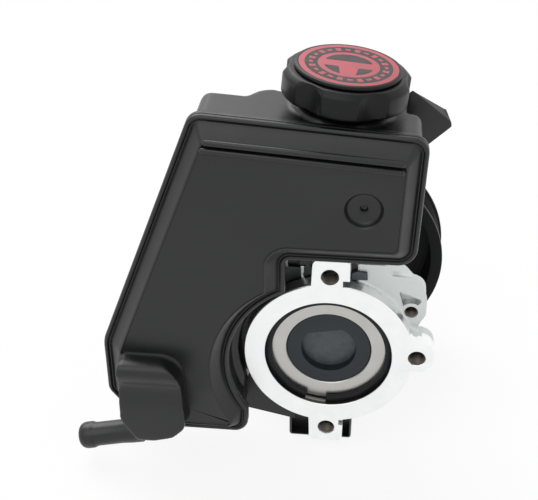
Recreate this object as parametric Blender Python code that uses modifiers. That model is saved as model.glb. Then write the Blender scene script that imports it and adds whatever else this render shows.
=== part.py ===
"""Power steering pump with its moulded fluid reservoir, at real size.

Lengths are metres. The shaft lies along Y, from the end cover at -Y to the pulley at +Y, with +X to
the right and +Z up. The origin is on the shaft's axis, in the face of the mounting flange.
"""
import math

import bmesh
import bpy
from mathutils import Matrix, Vector

Y_AXIS = Vector((0, 1, 0))
Z_AXIS = Vector((0, 0, 1))
FIT = 0.0003
BORE_STEPS = 24
SMALL_STEPS = 14

# Pump housing, a casting with a machined flange
BORE_RADIUS = 0.0330
FLANGE_LAND = 0.0108
FLANGE_THICK = 0.0090
BORE_CHAMFER = 0.0008
EAR_HOLE_RADIUS = 0.0043
EAR_HOLE_REACH = 0.0046
TOP_EAR_REACH = 0.0144
BOTTOM_EAR_REACH = 0.0139
EAR_HALF_WIDTH = 0.0100
SIDE_HOLE_REACH = 0.0018
SIDE_HOLE_Z = 0.0014
SIDE_EAR_RADIUS = 0.0086
SIDE_EAR_DEPTH = 0.0145
EAR_NICK = 0.0035
BARREL_STEP = 0.0026
BARREL_WALL_END = 0.0075
NOSE_RADIUS = 0.0255
NOSE_FILLET = 0.0050
REAR_BOSS_REACH = 0.0042
REAR_BOSS_ANGLE = math.radians(30.6)
REAR_BOSS_RADIUS = 0.0078
REAR_BOSS_STANDOFF = 0.0010
REAR_BOSS_LENGTH = 0.0230
REAR_BOSS_HOLE = 0.0033
SHOULDER_DEPTH = 0.0050
SHOULDER_RECESS = 0.0036
SHOULDER_BACK = 0.0300
CASTING_RIB_THICK = 0.0040

# Stack of plates inside the bore, from the end cover towards the pulley
COVER_FACE = 0.0054
COVER_THICK = 0.0126
COVER_DARK_RADIUS = 0.0219
COVER_SOCKET_RADIUS = 0.0143
COVER_SOCKET_FLAT = 0.0112
COVER_SOCKET_DEPTH = 0.0050
COVER_POCKET_RADIUS = 0.0175
COVER_POCKET_DEPTH = 0.0048
COVER_FLAT_TURN = math.radians(-11)
RING_THICK = 0.0021
RING_INNER_RADIUS = 0.0295
RING_GROOVE_DEPTH = 0.0013
RING_GAP = 0.0115
RING_GAP_ANGLE = math.radians(-101)
SPRING_SPACE = 0.0043
PLATE_THICK = 0.0077
CAM_WIDTH = 0.0160
THRUST_THICK = 0.0060
O_RING_WIRE = 0.0012

# Cam ring, rotor and vanes
CAM_MINOR = 0.0216
CAM_MAJOR = 0.0246
ROTOR_RADIUS = 0.0205
VANE_COUNT = 10
VANE_THICK = 0.0016
VANE_LENGTH = 0.0080
DOWEL_RADIUS = 0.0020
DOWEL_OFFSET = 0.0282
DOWEL_SINK = 0.0040

# Shaft and what carries it
SHAFT_RADIUS = 0.0085
ROTOR_SEAT_RADIUS = 0.0076
PULLEY_SEAT_RADIUS = 0.0082
SHAFT_FRONT_MARGIN = 0.0042
SHAFT_CENTRE_HOLE = 0.0034
SHAFT_CENTRE_DEPTH = 0.0200
BUSH_WALL = 0.0021
BUSH_LENGTH = 0.0112
SEAL_OUTER = 0.0150
SEAL_LENGTH = 0.0070
BEARING_OUTER = 0.0200
BEARING_WIDTH = 0.0118
BALL_COUNT = 8
BALL_RADIUS = 0.00335
BALL_PITCH = 0.0143
RACE_GAP = 0.0041
CAGE_HALF_WALL = 0.0012
CAGE_RAIL = 0.0009
CAGE_POCKET_REACH = 0.0050
SNAP_RING_THICK = 0.0013
NOSE_LIP = 0.0021

# Pulley
PULLEY_RADIUS = 0.0608
PULLEY_RIM_GAP = 0.0054
PULLEY_WIDTH = 0.0258
PULLEY_RIM_WALL = 0.0070
PULLEY_WEB_THICK = 0.0032
PULLEY_WEB_RECESS = 0.0040
PULLEY_HUB_RADIUS = 0.0135
PULLEY_HUB_GAP = 0.0032
PULLEY_HUB_RECESS = 0.0015
PULLEY_GROOVES = 6
PULLEY_GROOVE_PITCH = 0.00356
PULLEY_GROOVE_DEPTH = 0.0028
WEB_STEP_RADIUS = 0.0330
WEB_STEP_DEPTH = 0.0035

# Flow control valve, upright on the right of the casting
VALVE_X = 0.0260
VALVE_STANDOFF = 0.0036
VALVE_RADIUS = 0.0118
VALVE_TOP = 0.0110
VALVE_BOTTOM = -0.0460
VALVE_BORE = 0.0083
VALVE_BORE_TOP = 0.0080
SPOOL_TOP_CLEAR = 0.0170
SPOOL_LENGTH = 0.0240
FLOW_SPRING_WIRE = 0.0009
FITTING_HEX = 0.0108
FITTING_HEX_HEIGHT = 0.0075
FITTING_BORE = 0.0040

# Inlet in the top of the casting
INLET_Y = 0.0290
INLET_BOSS_RADIUS = 0.0100
INLET_BOSS_RISE = 0.0122
INLET_BORE = 0.0065
INLET_COUNTERBORE = 0.0086
INLET_COUNTERBORE_DEPTH = 0.0060

# Reservoir outline in the plane of its weld, each straight side as (x, z) to (x, z), clockwise
RESERVOIR_SIDES = {
    "top": ((-0.0600, 0.1395), (0.0376, 0.1321)),
    "right": ((0.0434, 0.1230), (0.0416, 0.0760)),
    "notch": ((0.0336, 0.0647), (-0.0190, 0.0648)),
    "notch_side": ((-0.0214, 0.0620), (-0.0214, 0.0460)),
    "lip": ((-0.0409, -0.0295), (-0.0409, -0.0380)),
    "bottom": ((-0.0490, -0.0448), (-0.0900, -0.0448)),
    "corner_cut": ((-0.0975, -0.0448), (-0.1122, -0.0250)),
    "left": ((-0.1148, -0.0190), (-0.1148, 0.0050)),
    "slope": ((-0.1104, 0.0219), (-0.0702, 0.1255)),
}
RESERVOIR_CORNERS = {
    ("slope", "top"): 0.0080,
    ("top", "right"): 0.0080,
    ("right", "notch"): 0.0095,
    ("notch", "notch_side"): 0.0026,
    ("lip", "bottom"): 0.0075,
    ("bottom", "corner_cut"): 0.0040,
    ("corner_cut", "left"): 0.0080,
    ("left", "slope"): 0.0200,
}
CONCAVE_CORNER = ("notch", "notch_side")
CUTOUT_CLEAR = 0.0066
PANEL_INSETS = {
    "top": 0.0097, "right": 0.0095, "notch": 0.0114, "notch_side": 0.0092, "lip": 0.0056,
    "bottom": 0.0098, "corner_cut": 0.0080, "left": 0.0105, "slope": 0.0100,
}
PANEL_CUTOUT_INSET = 0.0084
RESERVOIR_WALL = 0.0026
WELD_PLANE = -0.0097
WELD_FLANGE_THICK = 0.0030
PANEL_DEPTH = -0.0200
TANK_INSET = 0.0030
TANK_BACK = 0.0210
SADDLE_CLEAR = 0.0010
FLANGE_CLEAR_DEPTH = 0.0100
CORNER_STEPS = 3
CUTOUT_STEPS = 12

# Details of the reservoir's front shell
RIDGE_RADIUS = 0.0012
RIDGE_SHARES = (0.70, 0.98)
FACE_BOSS_X = 0.0147
FACE_BOSS_Z = 0.1015
FACE_BOSS_RADIUS = 0.0092
FACE_BOSS_TOP_RADIUS = 0.0081
FACE_BOSS_HEIGHT = 0.0028
FACE_BOSS_DIMPLE = 0.0028
OUTLET_TOP = 0.0088
OUTLET_RIGHT = -0.0708
OUTLET_LEFT = -0.1050
OUTLET_BOTTOM = -0.0432
OUTLET_FACE_BOTTOM = -0.0392
OUTLET_FRONT = -0.0308
OUTLET_DISH = 0.0016
OUTLET_ROUND = 0.0022

# Return pipe with its hose barb
PIPE_START = Vector((-0.1000, -0.0170, -0.0440))
PIPE_DROP = math.radians(13)
PIPE_LENGTH = 0.0315
PIPE_RADIUS = 0.0064
PIPE_BARB_RADIUS = 0.0072
PIPE_BORE = 0.0043

# Rear half of the reservoir around the filler neck
NECK_BLOCK_LEFT = -0.0360
NECK_BLOCK_RIGHT = 0.0380
NECK_BLOCK_RISE = 0.0222
NECK_BLOCK_BACK = 0.0310
NECK_BLOCK_STEP_X = -0.0230
WING_BLOCK_BACK = 0.0460
SADDLE_LEG_GAP = 0.0103
SADDLE_LEG_THICK = 0.0027
SADDLE_FRONT = 0.0097
SADDLE_BACK = 0.0400
SADDLE_WALL = 0.0030
LEG_BACK = 0.0320
FOOT_LEFT = -0.0208
FOOT_RIGHT = 0.0134
FOOT_DROP = 0.0202
FOOT_BACK = 0.0220
FOOT_CORNER = 0.0015
SADDLE_WEB_THICK = 0.0040
SADDLE_WEB_LEFT = -0.0480
SADDLE_WEB_HEIGHTS = (-0.0454, -0.0522)
SADDLE_WEB_TURN = math.radians(-155)
SADDLE_LIP_THICK = 0.0030
RAIL_LEDGE = 0.0026
RAIL_RISE = 0.0050
RAIL_LIP_HEIGHT = 0.0062
RIGHT_RAIL_FRONT = 0.0152
CLIP_THICK = 0.0010
CLIP_INSET = 0.0015

# Horn at the right of the filler neck, as (x, z) points of its front and back faces
WING_FRONT = (
    (0.0300, 0.1270), (0.0356, 0.1325), (0.0555, 0.1156), (0.0560, 0.1134), (0.0442, 0.1022),
    (0.0300, 0.0920),
)
WING_BACK = (
    (0.0300, 0.1180), (0.0356, 0.1206), (0.0526, 0.1206), (0.0530, 0.1184), (0.0442, 0.1022),
    (0.0300, 0.0920),
)
WING_FRONT_Y = 0.0410
WING_BACK_Y = 0.0470

# Filler neck and cap, along an axis that leans to the right
CAP_CENTRE = Vector((0.0052, 0.0185, 0.1534))
CAP_LEAN = math.radians(5.5)
CAP_AXIS = Vector((math.sin(CAP_LEAN), 0, math.cos(CAP_LEAN)))
CAP_RADIUS = 0.0302
CAP_HEIGHT = 0.0124
CAP_TOP_RADIUS = 0.0276
CAP_CHAMFER_HEIGHT = 0.0026
CAP_DISC_RADIUS = 0.0250
CAP_DISC_THICK = 0.0020
CAP_CEILING = 0.0036
SCALLOP_COUNT = 6
SCALLOP_RADIUS = 0.0110
SCALLOP_DEPTH = 0.0034
SCALLOP_TURN = math.radians(-33)
NECK_RADIUS = 0.0206
NECK_BORE = 0.0172
COLLAR_RADIUS = 0.0268
COLLAR_HEIGHT = 0.0030
NECK_ROOT = -0.0310
GASKET_THICK = 0.0016
DIPSTICK_RADIUS = 0.0020
DIPSTICK_LENGTH = 0.0640
DIPSTICK_HEAD_RADIUS = 0.0070
DIPSTICK_HEAD_THICK = 0.0018
DIPSTICK_TAPER = 0.0062

FLANGE_RADIUS = BORE_RADIUS + FLANGE_LAND
BARREL_RADIUS = FLANGE_RADIUS - BARREL_STEP
EAR_HOLE_HEIGHT = FLANGE_RADIUS + EAR_HOLE_REACH
EAR_TOP = FLANGE_RADIUS + TOP_EAR_REACH
EAR_BOTTOM = -FLANGE_RADIUS - BOTTOM_EAR_REACH
SIDE_HOLE_X = FLANGE_RADIUS + SIDE_HOLE_REACH
REAR_BOSS_X = (FLANGE_RADIUS + REAR_BOSS_REACH) * math.cos(REAR_BOSS_ANGLE)
REAR_BOSS_Z = (FLANGE_RADIUS + REAR_BOSS_REACH) * math.sin(REAR_BOSS_ANGLE)
REAR_BOSS_FRONT = FLANGE_THICK + REAR_BOSS_STANDOFF
REAR_BOSS_BACK = REAR_BOSS_FRONT + REAR_BOSS_LENGTH
INLET_BOSS_TOP = FLANGE_RADIUS + INLET_BOSS_RISE
PUMP_CUTOUT_RADIUS = FLANGE_RADIUS + CUTOUT_CLEAR
NECK_BLOCK_BOTTOM = FLANGE_RADIUS + NECK_BLOCK_RISE
SADDLE_INNER = FLANGE_RADIUS + SADDLE_CLEAR
RAIL_SPLIT = FLANGE_RADIUS + RAIL_RISE
FOOT_BOTTOM = -FLANGE_RADIUS - FOOT_DROP
COVER_BACK = COVER_FACE + COVER_THICK
PLATE_FRONT = COVER_BACK + SPRING_SPACE
PLATE_BACK = PLATE_FRONT + PLATE_THICK
CAM_FRONT = PLATE_BACK + FIT
CAM_BACK = CAM_FRONT + CAM_WIDTH
THRUST_FRONT = CAM_BACK + FIT
THRUST_BACK = THRUST_FRONT + THRUST_THICK
BORE_END = THRUST_BACK + FIT
BARREL_END = BORE_END + BARREL_WALL_END
STACK_RADIUS = BORE_RADIUS - FIT
BUSH_FRONT = BORE_END + 4 * FIT
BUSH_BACK = BUSH_FRONT + BUSH_LENGTH
SEAL_FRONT = BUSH_BACK + 2 * FIT
SEAL_BACK = SEAL_FRONT + SEAL_LENGTH
BEARING_FRONT = SEAL_BACK + 2 * FIT
BEARING_BACK = BEARING_FRONT + BEARING_WIDTH
SNAP_FRONT = BEARING_BACK + FIT
SNAP_BACK = SNAP_FRONT + SNAP_RING_THICK
NOSE_END = SNAP_BACK + FIT + NOSE_LIP
VALVE_Y = BARREL_END + VALVE_STANDOFF
PULLEY_NEAR = NOSE_END + PULLEY_RIM_GAP
PULLEY_FAR = PULLEY_NEAR + PULLEY_WIDTH
PULLEY_WEB_BACK = PULLEY_FAR - PULLEY_WEB_RECESS
PULLEY_HUB_NEAR = NOSE_END + PULLEY_HUB_GAP
PULLEY_HUB_FAR = PULLEY_FAR - PULLEY_HUB_RECESS
ROTOR_FRONT = CAM_FRONT + FIT
ROTOR_BACK = CAM_BACK - FIT
SHELL_TOP = -CAP_DISC_THICK - FIT
CAP_BOTTOM = SHELL_TOP - CAP_HEIGHT
CEILING = SHELL_TOP - CAP_CEILING
GASKET_TOP = CEILING - FIT
NECK_TOP = GASKET_TOP - GASKET_THICK - FIT


def make_collection(name):
    """Makes a collection in the scene, or finds it there."""
    found = bpy.data.collections.get(name) or bpy.data.collections.new(name)
    if found.name not in bpy.context.scene.collection.children:
        bpy.context.scene.collection.children.link(found)
    return found


def clear_scene():
    """Removes the objects that the scene starts with."""
    for obj in list(bpy.data.objects):
        bpy.data.objects.remove(obj, do_unlink=True)


clear_scene()
PARTS = make_collection("Power steering pump")
TOOLS = make_collection("Cutters")


def as_tool(obj):
    """Keeps an object as a cutter or guide, drawn as wire and never rendered."""
    TOOLS.objects.link(obj)
    obj.hide_render = True
    obj.display_type = "WIRE"
    return obj


def mesh_object(name, bm):
    """Turns a bmesh into an object among the cutters."""
    mesh = bpy.data.meshes.new(name)
    bm.to_mesh(mesh)
    bm.free()
    return as_tool(bpy.data.objects.new(name, mesh))


def aim(obj, axis, origin):
    """Places an object so that its own Z axis lies along an axis through an origin."""
    obj.rotation_mode = "QUATERNION"
    obj.rotation_quaternion = Z_AXIS.rotation_difference(Vector(axis))
    obj.location = origin
    return obj


def make_material(name, colour, roughness, metallic=0.0):
    """Makes a plain material from a colour in linear RGB."""
    material = bpy.data.materials.get(name)
    if material:
        return material
    material = bpy.data.materials.new(name)
    material.use_nodes = True
    shader = material.node_tree.nodes["Principled BSDF"]
    shader.inputs["Base Color"].default_value = (*colour, 1)
    shader.inputs["Roughness"].default_value = roughness
    shader.inputs["Metallic"].default_value = metallic
    return material


def black_nylon():
    return make_material("black moulded nylon", (0.032, 0.033, 0.034), 0.42)


def cast_aluminium():
    return make_material("machined cast aluminium", (0.62, 0.64, 0.63), 0.45, 0.85)


def ground_steel():
    return make_material("ground steel", (0.42, 0.41, 0.39), 0.28, 1.0)


def dark_steel():
    return make_material("blackened spring steel", (0.06, 0.06, 0.06), 0.40, 0.9)


def phosphated_steel():
    return make_material("phosphated steel", (0.10, 0.11, 0.12), 0.45, 0.7)


def black_paint():
    return make_material("black painted steel", (0.020, 0.021, 0.022), 0.35)


def nitrile_rubber():
    return make_material("nitrile rubber", (0.018, 0.018, 0.018), 0.75)


def bronze():
    return make_material("sintered bronze", (0.45, 0.27, 0.11), 0.45, 1.0)


def red_print():
    return make_material("red printed disc", (0.48, 0.08, 0.09), 0.50)


def finish(obj, name, material):
    """Makes an object one of the pump's named parts."""
    TOOLS.objects.unlink(obj)
    PARTS.objects.link(obj)
    obj.name = name
    obj.hide_render = False
    obj.display_type = "TEXTURED"
    if any(modifier.type == "BOOLEAN" for modifier in obj.modifiers):
        weld = obj.modifiers.new("Weld", "WELD")
        weld.merge_threshold = 0.000003
    obj.data.materials.clear()
    obj.data.materials.append(material)
    obj.data.shade_smooth()
    obj.data.set_sharp_from_angle(angle=math.radians(32))
    return obj


def combine(obj, others, operation):
    """Adds one Boolean modifier for each other object."""
    for other in others:
        boolean = obj.modifiers.new(operation.title(), "BOOLEAN")
        boolean.operation = operation
        boolean.solver = "EXACT"
        boolean.object = other
    return obj


def join(obj, *others):
    return combine(obj, others, "UNION")


def cut(obj, *cutters):
    return combine(obj, cutters, "DIFFERENCE")


def turned(name, profile, origin=(0, 0, 0), axis=Y_AXIS, steps=48):
    """Turns a profile of (radius, height) points about an axis through an origin.

    A profile that starts and ends at radius 0 makes a solid, and any other one is closed to a ring.
    """
    points = list(profile)
    closed = points[0][0] > 0 or points[-1][0] > 0
    area = sum(a[0] * b[1] - b[0] * a[1] for a, b in zip(points, points[1:] + points[:1]))
    if area > 0:
        points.reverse()
    bm = bmesh.new()
    verts = [bm.verts.new((radius, 0, height)) for radius, height in points]
    for start, end in zip(verts, verts[1:]):
        bm.edges.new((start, end))
    if closed:
        bm.edges.new((verts[-1], verts[0]))
    obj = mesh_object(name, bm)
    screw = obj.modifiers.new("Turn", "SCREW")
    screw.steps = steps
    screw.render_steps = steps
    screw.use_merge_vertices = True
    screw.merge_threshold = 0.000001
    return aim(obj, axis, origin)


def rod(name, radius, start, end, steps=32):
    """Makes a cylinder between two points."""
    start, end = Vector(start), Vector(end)
    bm = bmesh.new()
    bmesh.ops.create_cone(
        bm, cap_ends=True, segments=steps, radius1=radius, radius2=radius, depth=(end - start).length
    )
    return aim(mesh_object(name, bm), (end - start).normalized(), (start + end) / 2)


def box(name, low, high, bevel=0.0, segments=2):
    """Makes a box between two corners, with rounded edges if a bevel is given."""
    low, high = Vector(low), Vector(high)
    bm = bmesh.new()
    bmesh.ops.create_cube(bm, size=1)
    bmesh.ops.scale(bm, vec=high - low, verts=bm.verts)
    obj = mesh_object(name, bm)
    obj.location = (low + high) / 2
    if bevel:
        round_edges(obj, bevel, segments)
    return obj


def round_edges(obj, width, segments=2):
    """Rounds the edges that are sharper than 30 degrees."""
    bevel = obj.modifiers.new("Round", "BEVEL")
    bevel.width = width
    bevel.segments = segments
    bevel.limit_method = "ANGLE"
    bevel.angle_limit = math.radians(30)
    bevel.use_clamp_overlap = True
    return obj


def curve_to_mesh(obj, tolerance=0.000005):
    """Replaces a curve object with the mesh that it shows."""
    bpy.context.view_layer.update()
    evaluated = obj.evaluated_get(bpy.context.evaluated_depsgraph_get())
    mesh = bpy.data.meshes.new_from_object(evaluated)
    bm = bmesh.new()
    bm.from_mesh(mesh)
    bmesh.ops.remove_doubles(bm, verts=bm.verts, dist=tolerance)
    bm.to_mesh(mesh)
    bm.free()
    solid = bpy.data.objects.new(obj.name, mesh)
    solid.matrix_world = obj.matrix_world.copy()
    as_tool(solid)
    bpy.data.objects.remove(obj, do_unlink=True)
    return solid


def plate(name, outlines, low, high, axis="Y"):
    """Extrudes flat outlines: (x, z) points along Y, (y, z) points along X or (x, y) points along Z."""
    curve = bpy.data.curves.new(name, "CURVE")
    curve.dimensions = "2D"
    curve.fill_mode = "BOTH"
    curve.extrude = (high - low) / 2
    for outline in outlines:
        spline = curve.splines.new("POLY")
        spline.points.add(len(outline) - 1)
        for point, (across, up) in zip(spline.points, outline):
            point.co = (across, up, 0, 1)
        spline.use_cyclic_u = True
    obj = as_tool(bpy.data.objects.new(name, curve))
    middle = (low + high) / 2
    if axis == "Y":
        obj.rotation_euler = (math.pi / 2, 0, 0)
        obj.location = (0, middle, 0)
    elif axis == "X":
        obj.rotation_euler = (math.pi / 2, 0, math.pi / 2)
        obj.location = (middle, 0, 0)
    else:
        obj.location = (0, 0, middle)
    return curve_to_mesh(obj)


def wire(name, points, radius, cyclic=False):
    """Makes a round wire through points as a curve with filled caps."""
    curve = bpy.data.curves.new(name, "CURVE")
    curve.dimensions = "3D"
    curve.bevel_depth = radius
    curve.bevel_resolution = 1
    curve.use_fill_caps = True
    spline = curve.splines.new("POLY")
    spline.points.add(len(points) - 1)
    for point, place in zip(spline.points, points):
        point.co = (*place, 1)
    spline.use_cyclic_u = cyclic
    return curve_to_mesh(as_tool(bpy.data.objects.new(name, curve)))


def ring_of_wire(name, radius, wire_radius, origin, axis, steps=28):
    """Makes a seal ring of round section."""
    section = [
        (radius + wire_radius * math.cos(angle), wire_radius * math.sin(angle))
        for angle in (math.tau * (step + 0.5) / 6 for step in range(6))
    ]
    return turned(name, section, origin, axis, steps)


def loft(name, sections):
    """Makes a closed solid through sections that all have the same number of points."""
    bm = bmesh.new()
    rings = [[bm.verts.new(point) for point in section] for section in sections]
    for near, far in zip(rings, rings[1:]):
        for index in range(len(near)):
            after = (index + 1) % len(near)
            bm.faces.new((near[index], near[after], far[after], far[index]))
    bm.faces.new(rings[0])
    bm.faces.new(rings[-1])
    bmesh.ops.recalc_face_normals(bm, faces=bm.faces)
    return mesh_object(name, bm)


def arc(centre, radius, start, end, steps):
    """Lists points along an arc, its angles in radians from +X."""
    return [
        (
            centre[0] + radius * math.cos(start + (end - start) * step / steps),
            centre[1] + radius * math.sin(start + (end - start) * step / steps),
        )
        for step in range(steps + 1)
    ]


def corner_arc(before, corner, after, radius, steps):
    """Rounds the corner between two straight runs."""
    before, corner, after = Vector(before), Vector(corner), Vector(after)
    to_before = (before - corner).normalized()
    to_after = (after - corner).normalized()
    half = math.acos(max(-1, min(1, to_before.dot(to_after)))) / 2
    centre = corner + (to_before + to_after).normalized() * radius / math.sin(half)
    start = corner + to_before * radius / math.tan(half) - centre
    end = corner + to_after * radius / math.tan(half) - centre
    turn = start.angle_signed(end)
    return [
        tuple(centre + Vector((
            start.x * math.cos(-turn * step / steps) - start.y * math.sin(-turn * step / steps),
            start.x * math.sin(-turn * step / steps) + start.y * math.cos(-turn * step / steps),
        )))
        for step in range(steps + 1)
    ]


def rounded_outline(corners, steps=3):
    """Lists the outline of a polygon of (x, z, radius) corners, sharp where the radius is 0."""
    outline = []
    for index, (across, up, radius) in enumerate(corners):
        before = corners[index - 1][:2]
        after = corners[(index + 1) % len(corners)][:2]
        if radius:
            outline += corner_arc(before, (across, up), after, radius, steps)
        else:
            outline.append((across, up))
    return outline


def helix(radius, wire_radius, low, high, turns, steps):
    """Lists the points of a compression spring about Z, with a closed turn at each end."""
    closed_rise = wire_radius * 2 + FIT
    points = []
    for step in range(turns * steps + 1):
        turn = step / steps
        share = min(max((turn - 1) / (turns - 2), 0), 1)
        foot = min(turn, 1) * closed_rise + max(turn - turns + 1, 0) * closed_rise
        height = low + wire_radius + foot + share * (high - low - 2 * wire_radius - 2 * closed_rise)
        angle = math.tau * turn
        points.append((radius * math.cos(angle), radius * math.sin(angle), height))
    return points


def reservoir_outline(insets, cutout_inset):
    """Lists the reservoir's outline, each side moved inwards by its own inset."""
    lines = {}
    for side, (start, end) in RESERVOIR_SIDES.items():
        start, end = Vector(start), Vector(end)
        along = (end - start).normalized()
        shift = Vector((along.y, -along.x)) * insets[side]
        lines[side] = (start + shift, along)

    def crossing(first, second):
        (point, along), (other, other_along) = lines[first], lines[second]
        gap = other - point
        across = along.x * other_along.y - along.y * other_along.x
        return point + along * (gap.x * other_along.y - gap.y * other_along.x) / across

    def on_cutout(side, upper):
        x = lines[side][0].x
        height = math.sqrt(radius * radius - x * x)
        return Vector((x, height if upper else -height))

    radius = PUMP_CUTOUT_RADIUS + cutout_inset
    corners = {pair: crossing(*pair) for pair in RESERVOIR_CORNERS}
    order = list(RESERVOIR_CORNERS)
    cutout_top = on_cutout("notch_side", True)
    cutout_bottom = on_cutout("lip", False)
    outline = []
    for index, pair in enumerate(order):
        before = corners[order[index - 1]]
        after = corners[order[(index + 1) % len(order)]]
        if pair == CONCAVE_CORNER:
            after = cutout_top
        if pair[0] == "lip":
            before = cutout_bottom
        inset = min(insets[pair[0]], insets[pair[1]])
        size = RESERVOIR_CORNERS[pair]
        fillet = size + inset if pair == CONCAVE_CORNER else max(size - inset, size * 0.3)
        outline += corner_arc(before, corners[pair], after, fillet, CORNER_STEPS)
        if pair == CONCAVE_CORNER:
            top_angle = math.atan2(cutout_top.y, cutout_top.x)
            bottom_angle = math.atan2(cutout_bottom.y, cutout_bottom.x) + math.tau
            outline += arc((0, 0), radius, top_angle, bottom_angle, CUTOUT_STEPS)
    return outline


def even_insets(inset):
    """Gives every side of the reservoir the same inset."""
    return {side: inset for side in RESERVOIR_SIDES}


def panel_insets(share, extra=0.0):
    """Gives each side a share of the way from the weld to the panel, and a wall more."""
    return {side: inset * share + extra for side, inset in PANEL_INSETS.items()}


def section_at(insets, cutout_inset, depth):
    """Places a reservoir outline at a depth along Y."""
    return [(across, depth, up) for across, up in reservoir_outline(insets, cutout_inset)]


def cap_point(along, across=0.0, depth=0.0):
    """Gives a point in the cap's own frame: along its axis from the printed face, across and deep."""
    side = Y_AXIS.cross(CAP_AXIS)
    return CAP_CENTRE + CAP_AXIS * along + side * across + Y_AXIS * depth


def casting_ear(name, corners, back):
    """Makes one fixing ear of the flange."""
    return plate(name, [rounded_outline(corners)], 0, back)


def pump_housing():
    """Casts the pump body: flange with ears, barrel, nose, valve tower, inlet boss and rails."""
    housing = turned("housing barrel", [
        (0, 0), (FLANGE_RADIUS, 0), (FLANGE_RADIUS, FLANGE_THICK), (BARREL_RADIUS, FLANGE_THICK),
        (BARREL_RADIUS, BARREL_END - 2 * NOSE_FILLET),
        (BARREL_RADIUS - NOSE_FILLET * 0.3, BARREL_END - NOSE_FILLET),
        (BARREL_RADIUS - NOSE_FILLET, BARREL_END),
        (NOSE_RADIUS + NOSE_FILLET, BARREL_END),
        (NOSE_RADIUS + NOSE_FILLET * 0.3, BARREL_END + NOSE_FILLET * 0.3),
        (NOSE_RADIUS, BARREL_END + NOSE_FILLET),
        (NOSE_RADIUS, NOSE_END - BORE_CHAMFER), (NOSE_RADIUS - BORE_CHAMFER, NOSE_END), (0, NOSE_END),
    ], steps=30)
    root = FLANGE_RADIUS * 0.7
    top_ear = casting_ear("top ear", [
        (-EAR_HALF_WIDTH, root, 0), (-EAR_HALF_WIDTH + 0.0012, EAR_TOP, 0.0035),
        (EAR_HALF_WIDTH, EAR_TOP, 0.0035), (EAR_HALF_WIDTH, root, 0),
    ], FLANGE_THICK - FIT)
    bottom_ear = casting_ear("bottom ear", [
        (-EAR_HALF_WIDTH, -root, 0), (EAR_HALF_WIDTH - 0.0010, -root, 0),
        (EAR_HALF_WIDTH - 0.0014, EAR_BOTTOM, 0.0028), (-EAR_HALF_WIDTH + 0.0008, EAR_BOTTOM, 0.0028),
    ], FLANGE_THICK - FIT)
    tip = SIDE_HOLE_X + SIDE_EAR_RADIUS
    side_ear = casting_ear("side ear", [
        (root, 0.0225, 0), (SIDE_HOLE_X - 0.0020, SIDE_HOLE_Z + 0.0118, 0.0050),
        (tip, SIDE_HOLE_Z + SIDE_EAR_RADIUS, 0.0078), (tip, SIDE_HOLE_Z - SIDE_EAR_RADIUS, 0.0078),
        (SIDE_HOLE_X - 0.0060, SIDE_HOLE_Z - SIDE_EAR_RADIUS, 0.0030), (root, -0.0190, 0),
    ], SIDE_EAR_DEPTH)
    boss = rod(
        "rear boss", REAR_BOSS_RADIUS,
        (REAR_BOSS_X, REAR_BOSS_FRONT, REAR_BOSS_Z), (REAR_BOSS_X, REAR_BOSS_BACK, REAR_BOSS_Z),
        SMALL_STEPS,
    )
    shoulder = casting_shoulder()
    tower = rod(
        "valve tower", VALVE_RADIUS, (VALVE_X, VALVE_Y, VALVE_BOTTOM), (VALVE_X, VALVE_Y, VALVE_TOP),
        SMALL_STEPS,
    )
    round_edges(tower, 0.0018, 1)
    inlet = rod(
        "inlet boss", INLET_BOSS_RADIUS, (0, INLET_Y, BORE_RADIUS + 0.0020), (0, INLET_Y, INLET_BOSS_TOP),
        SMALL_STEPS,
    )
    join(housing, top_ear, bottom_ear, side_ear, shoulder, boss, tower, inlet)
    for side in (-1, 1):
        join(housing, housing_rail(side))
    for turn in (35, 145, 215, 270, 325):
        join(housing, nose_rib(turn))
    cut(housing, housing_bore(), inlet_bore(), valve_bore())
    for across, up, radius, depth in (
        (0, EAR_HOLE_HEIGHT, EAR_HOLE_RADIUS, FLANGE_THICK),
        (0, -EAR_HOLE_HEIGHT, EAR_HOLE_RADIUS, FLANGE_THICK),
        (SIDE_HOLE_X, SIDE_HOLE_Z, EAR_HOLE_RADIUS, SIDE_EAR_DEPTH),
        (REAR_BOSS_X, REAR_BOSS_Z, REAR_BOSS_HOLE, REAR_BOSS_BACK),
    ):
        cut(housing, rod("ear hole", radius, (across, -0.0020, up), (across, depth + 0.0020, up), 16))
    for side in (1, -1):
        foot = side * (FLANGE_RADIUS - EAR_NICK * 0.25)
        low, high = sorted((foot, foot + side * EAR_NICK))
        cut(housing, box(
            "ear nick", (EAR_HALF_WIDTH - EAR_NICK, -0.0010, low),
            (EAR_HALF_WIDTH + 0.0020, FLANGE_THICK + 0.0010, high),
        ))
    for side in (1, -1):
        cut(housing, dowel("dowel hole", side, FIT))
    return finish(housing, "pump_housing", cast_aluminium())


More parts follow.
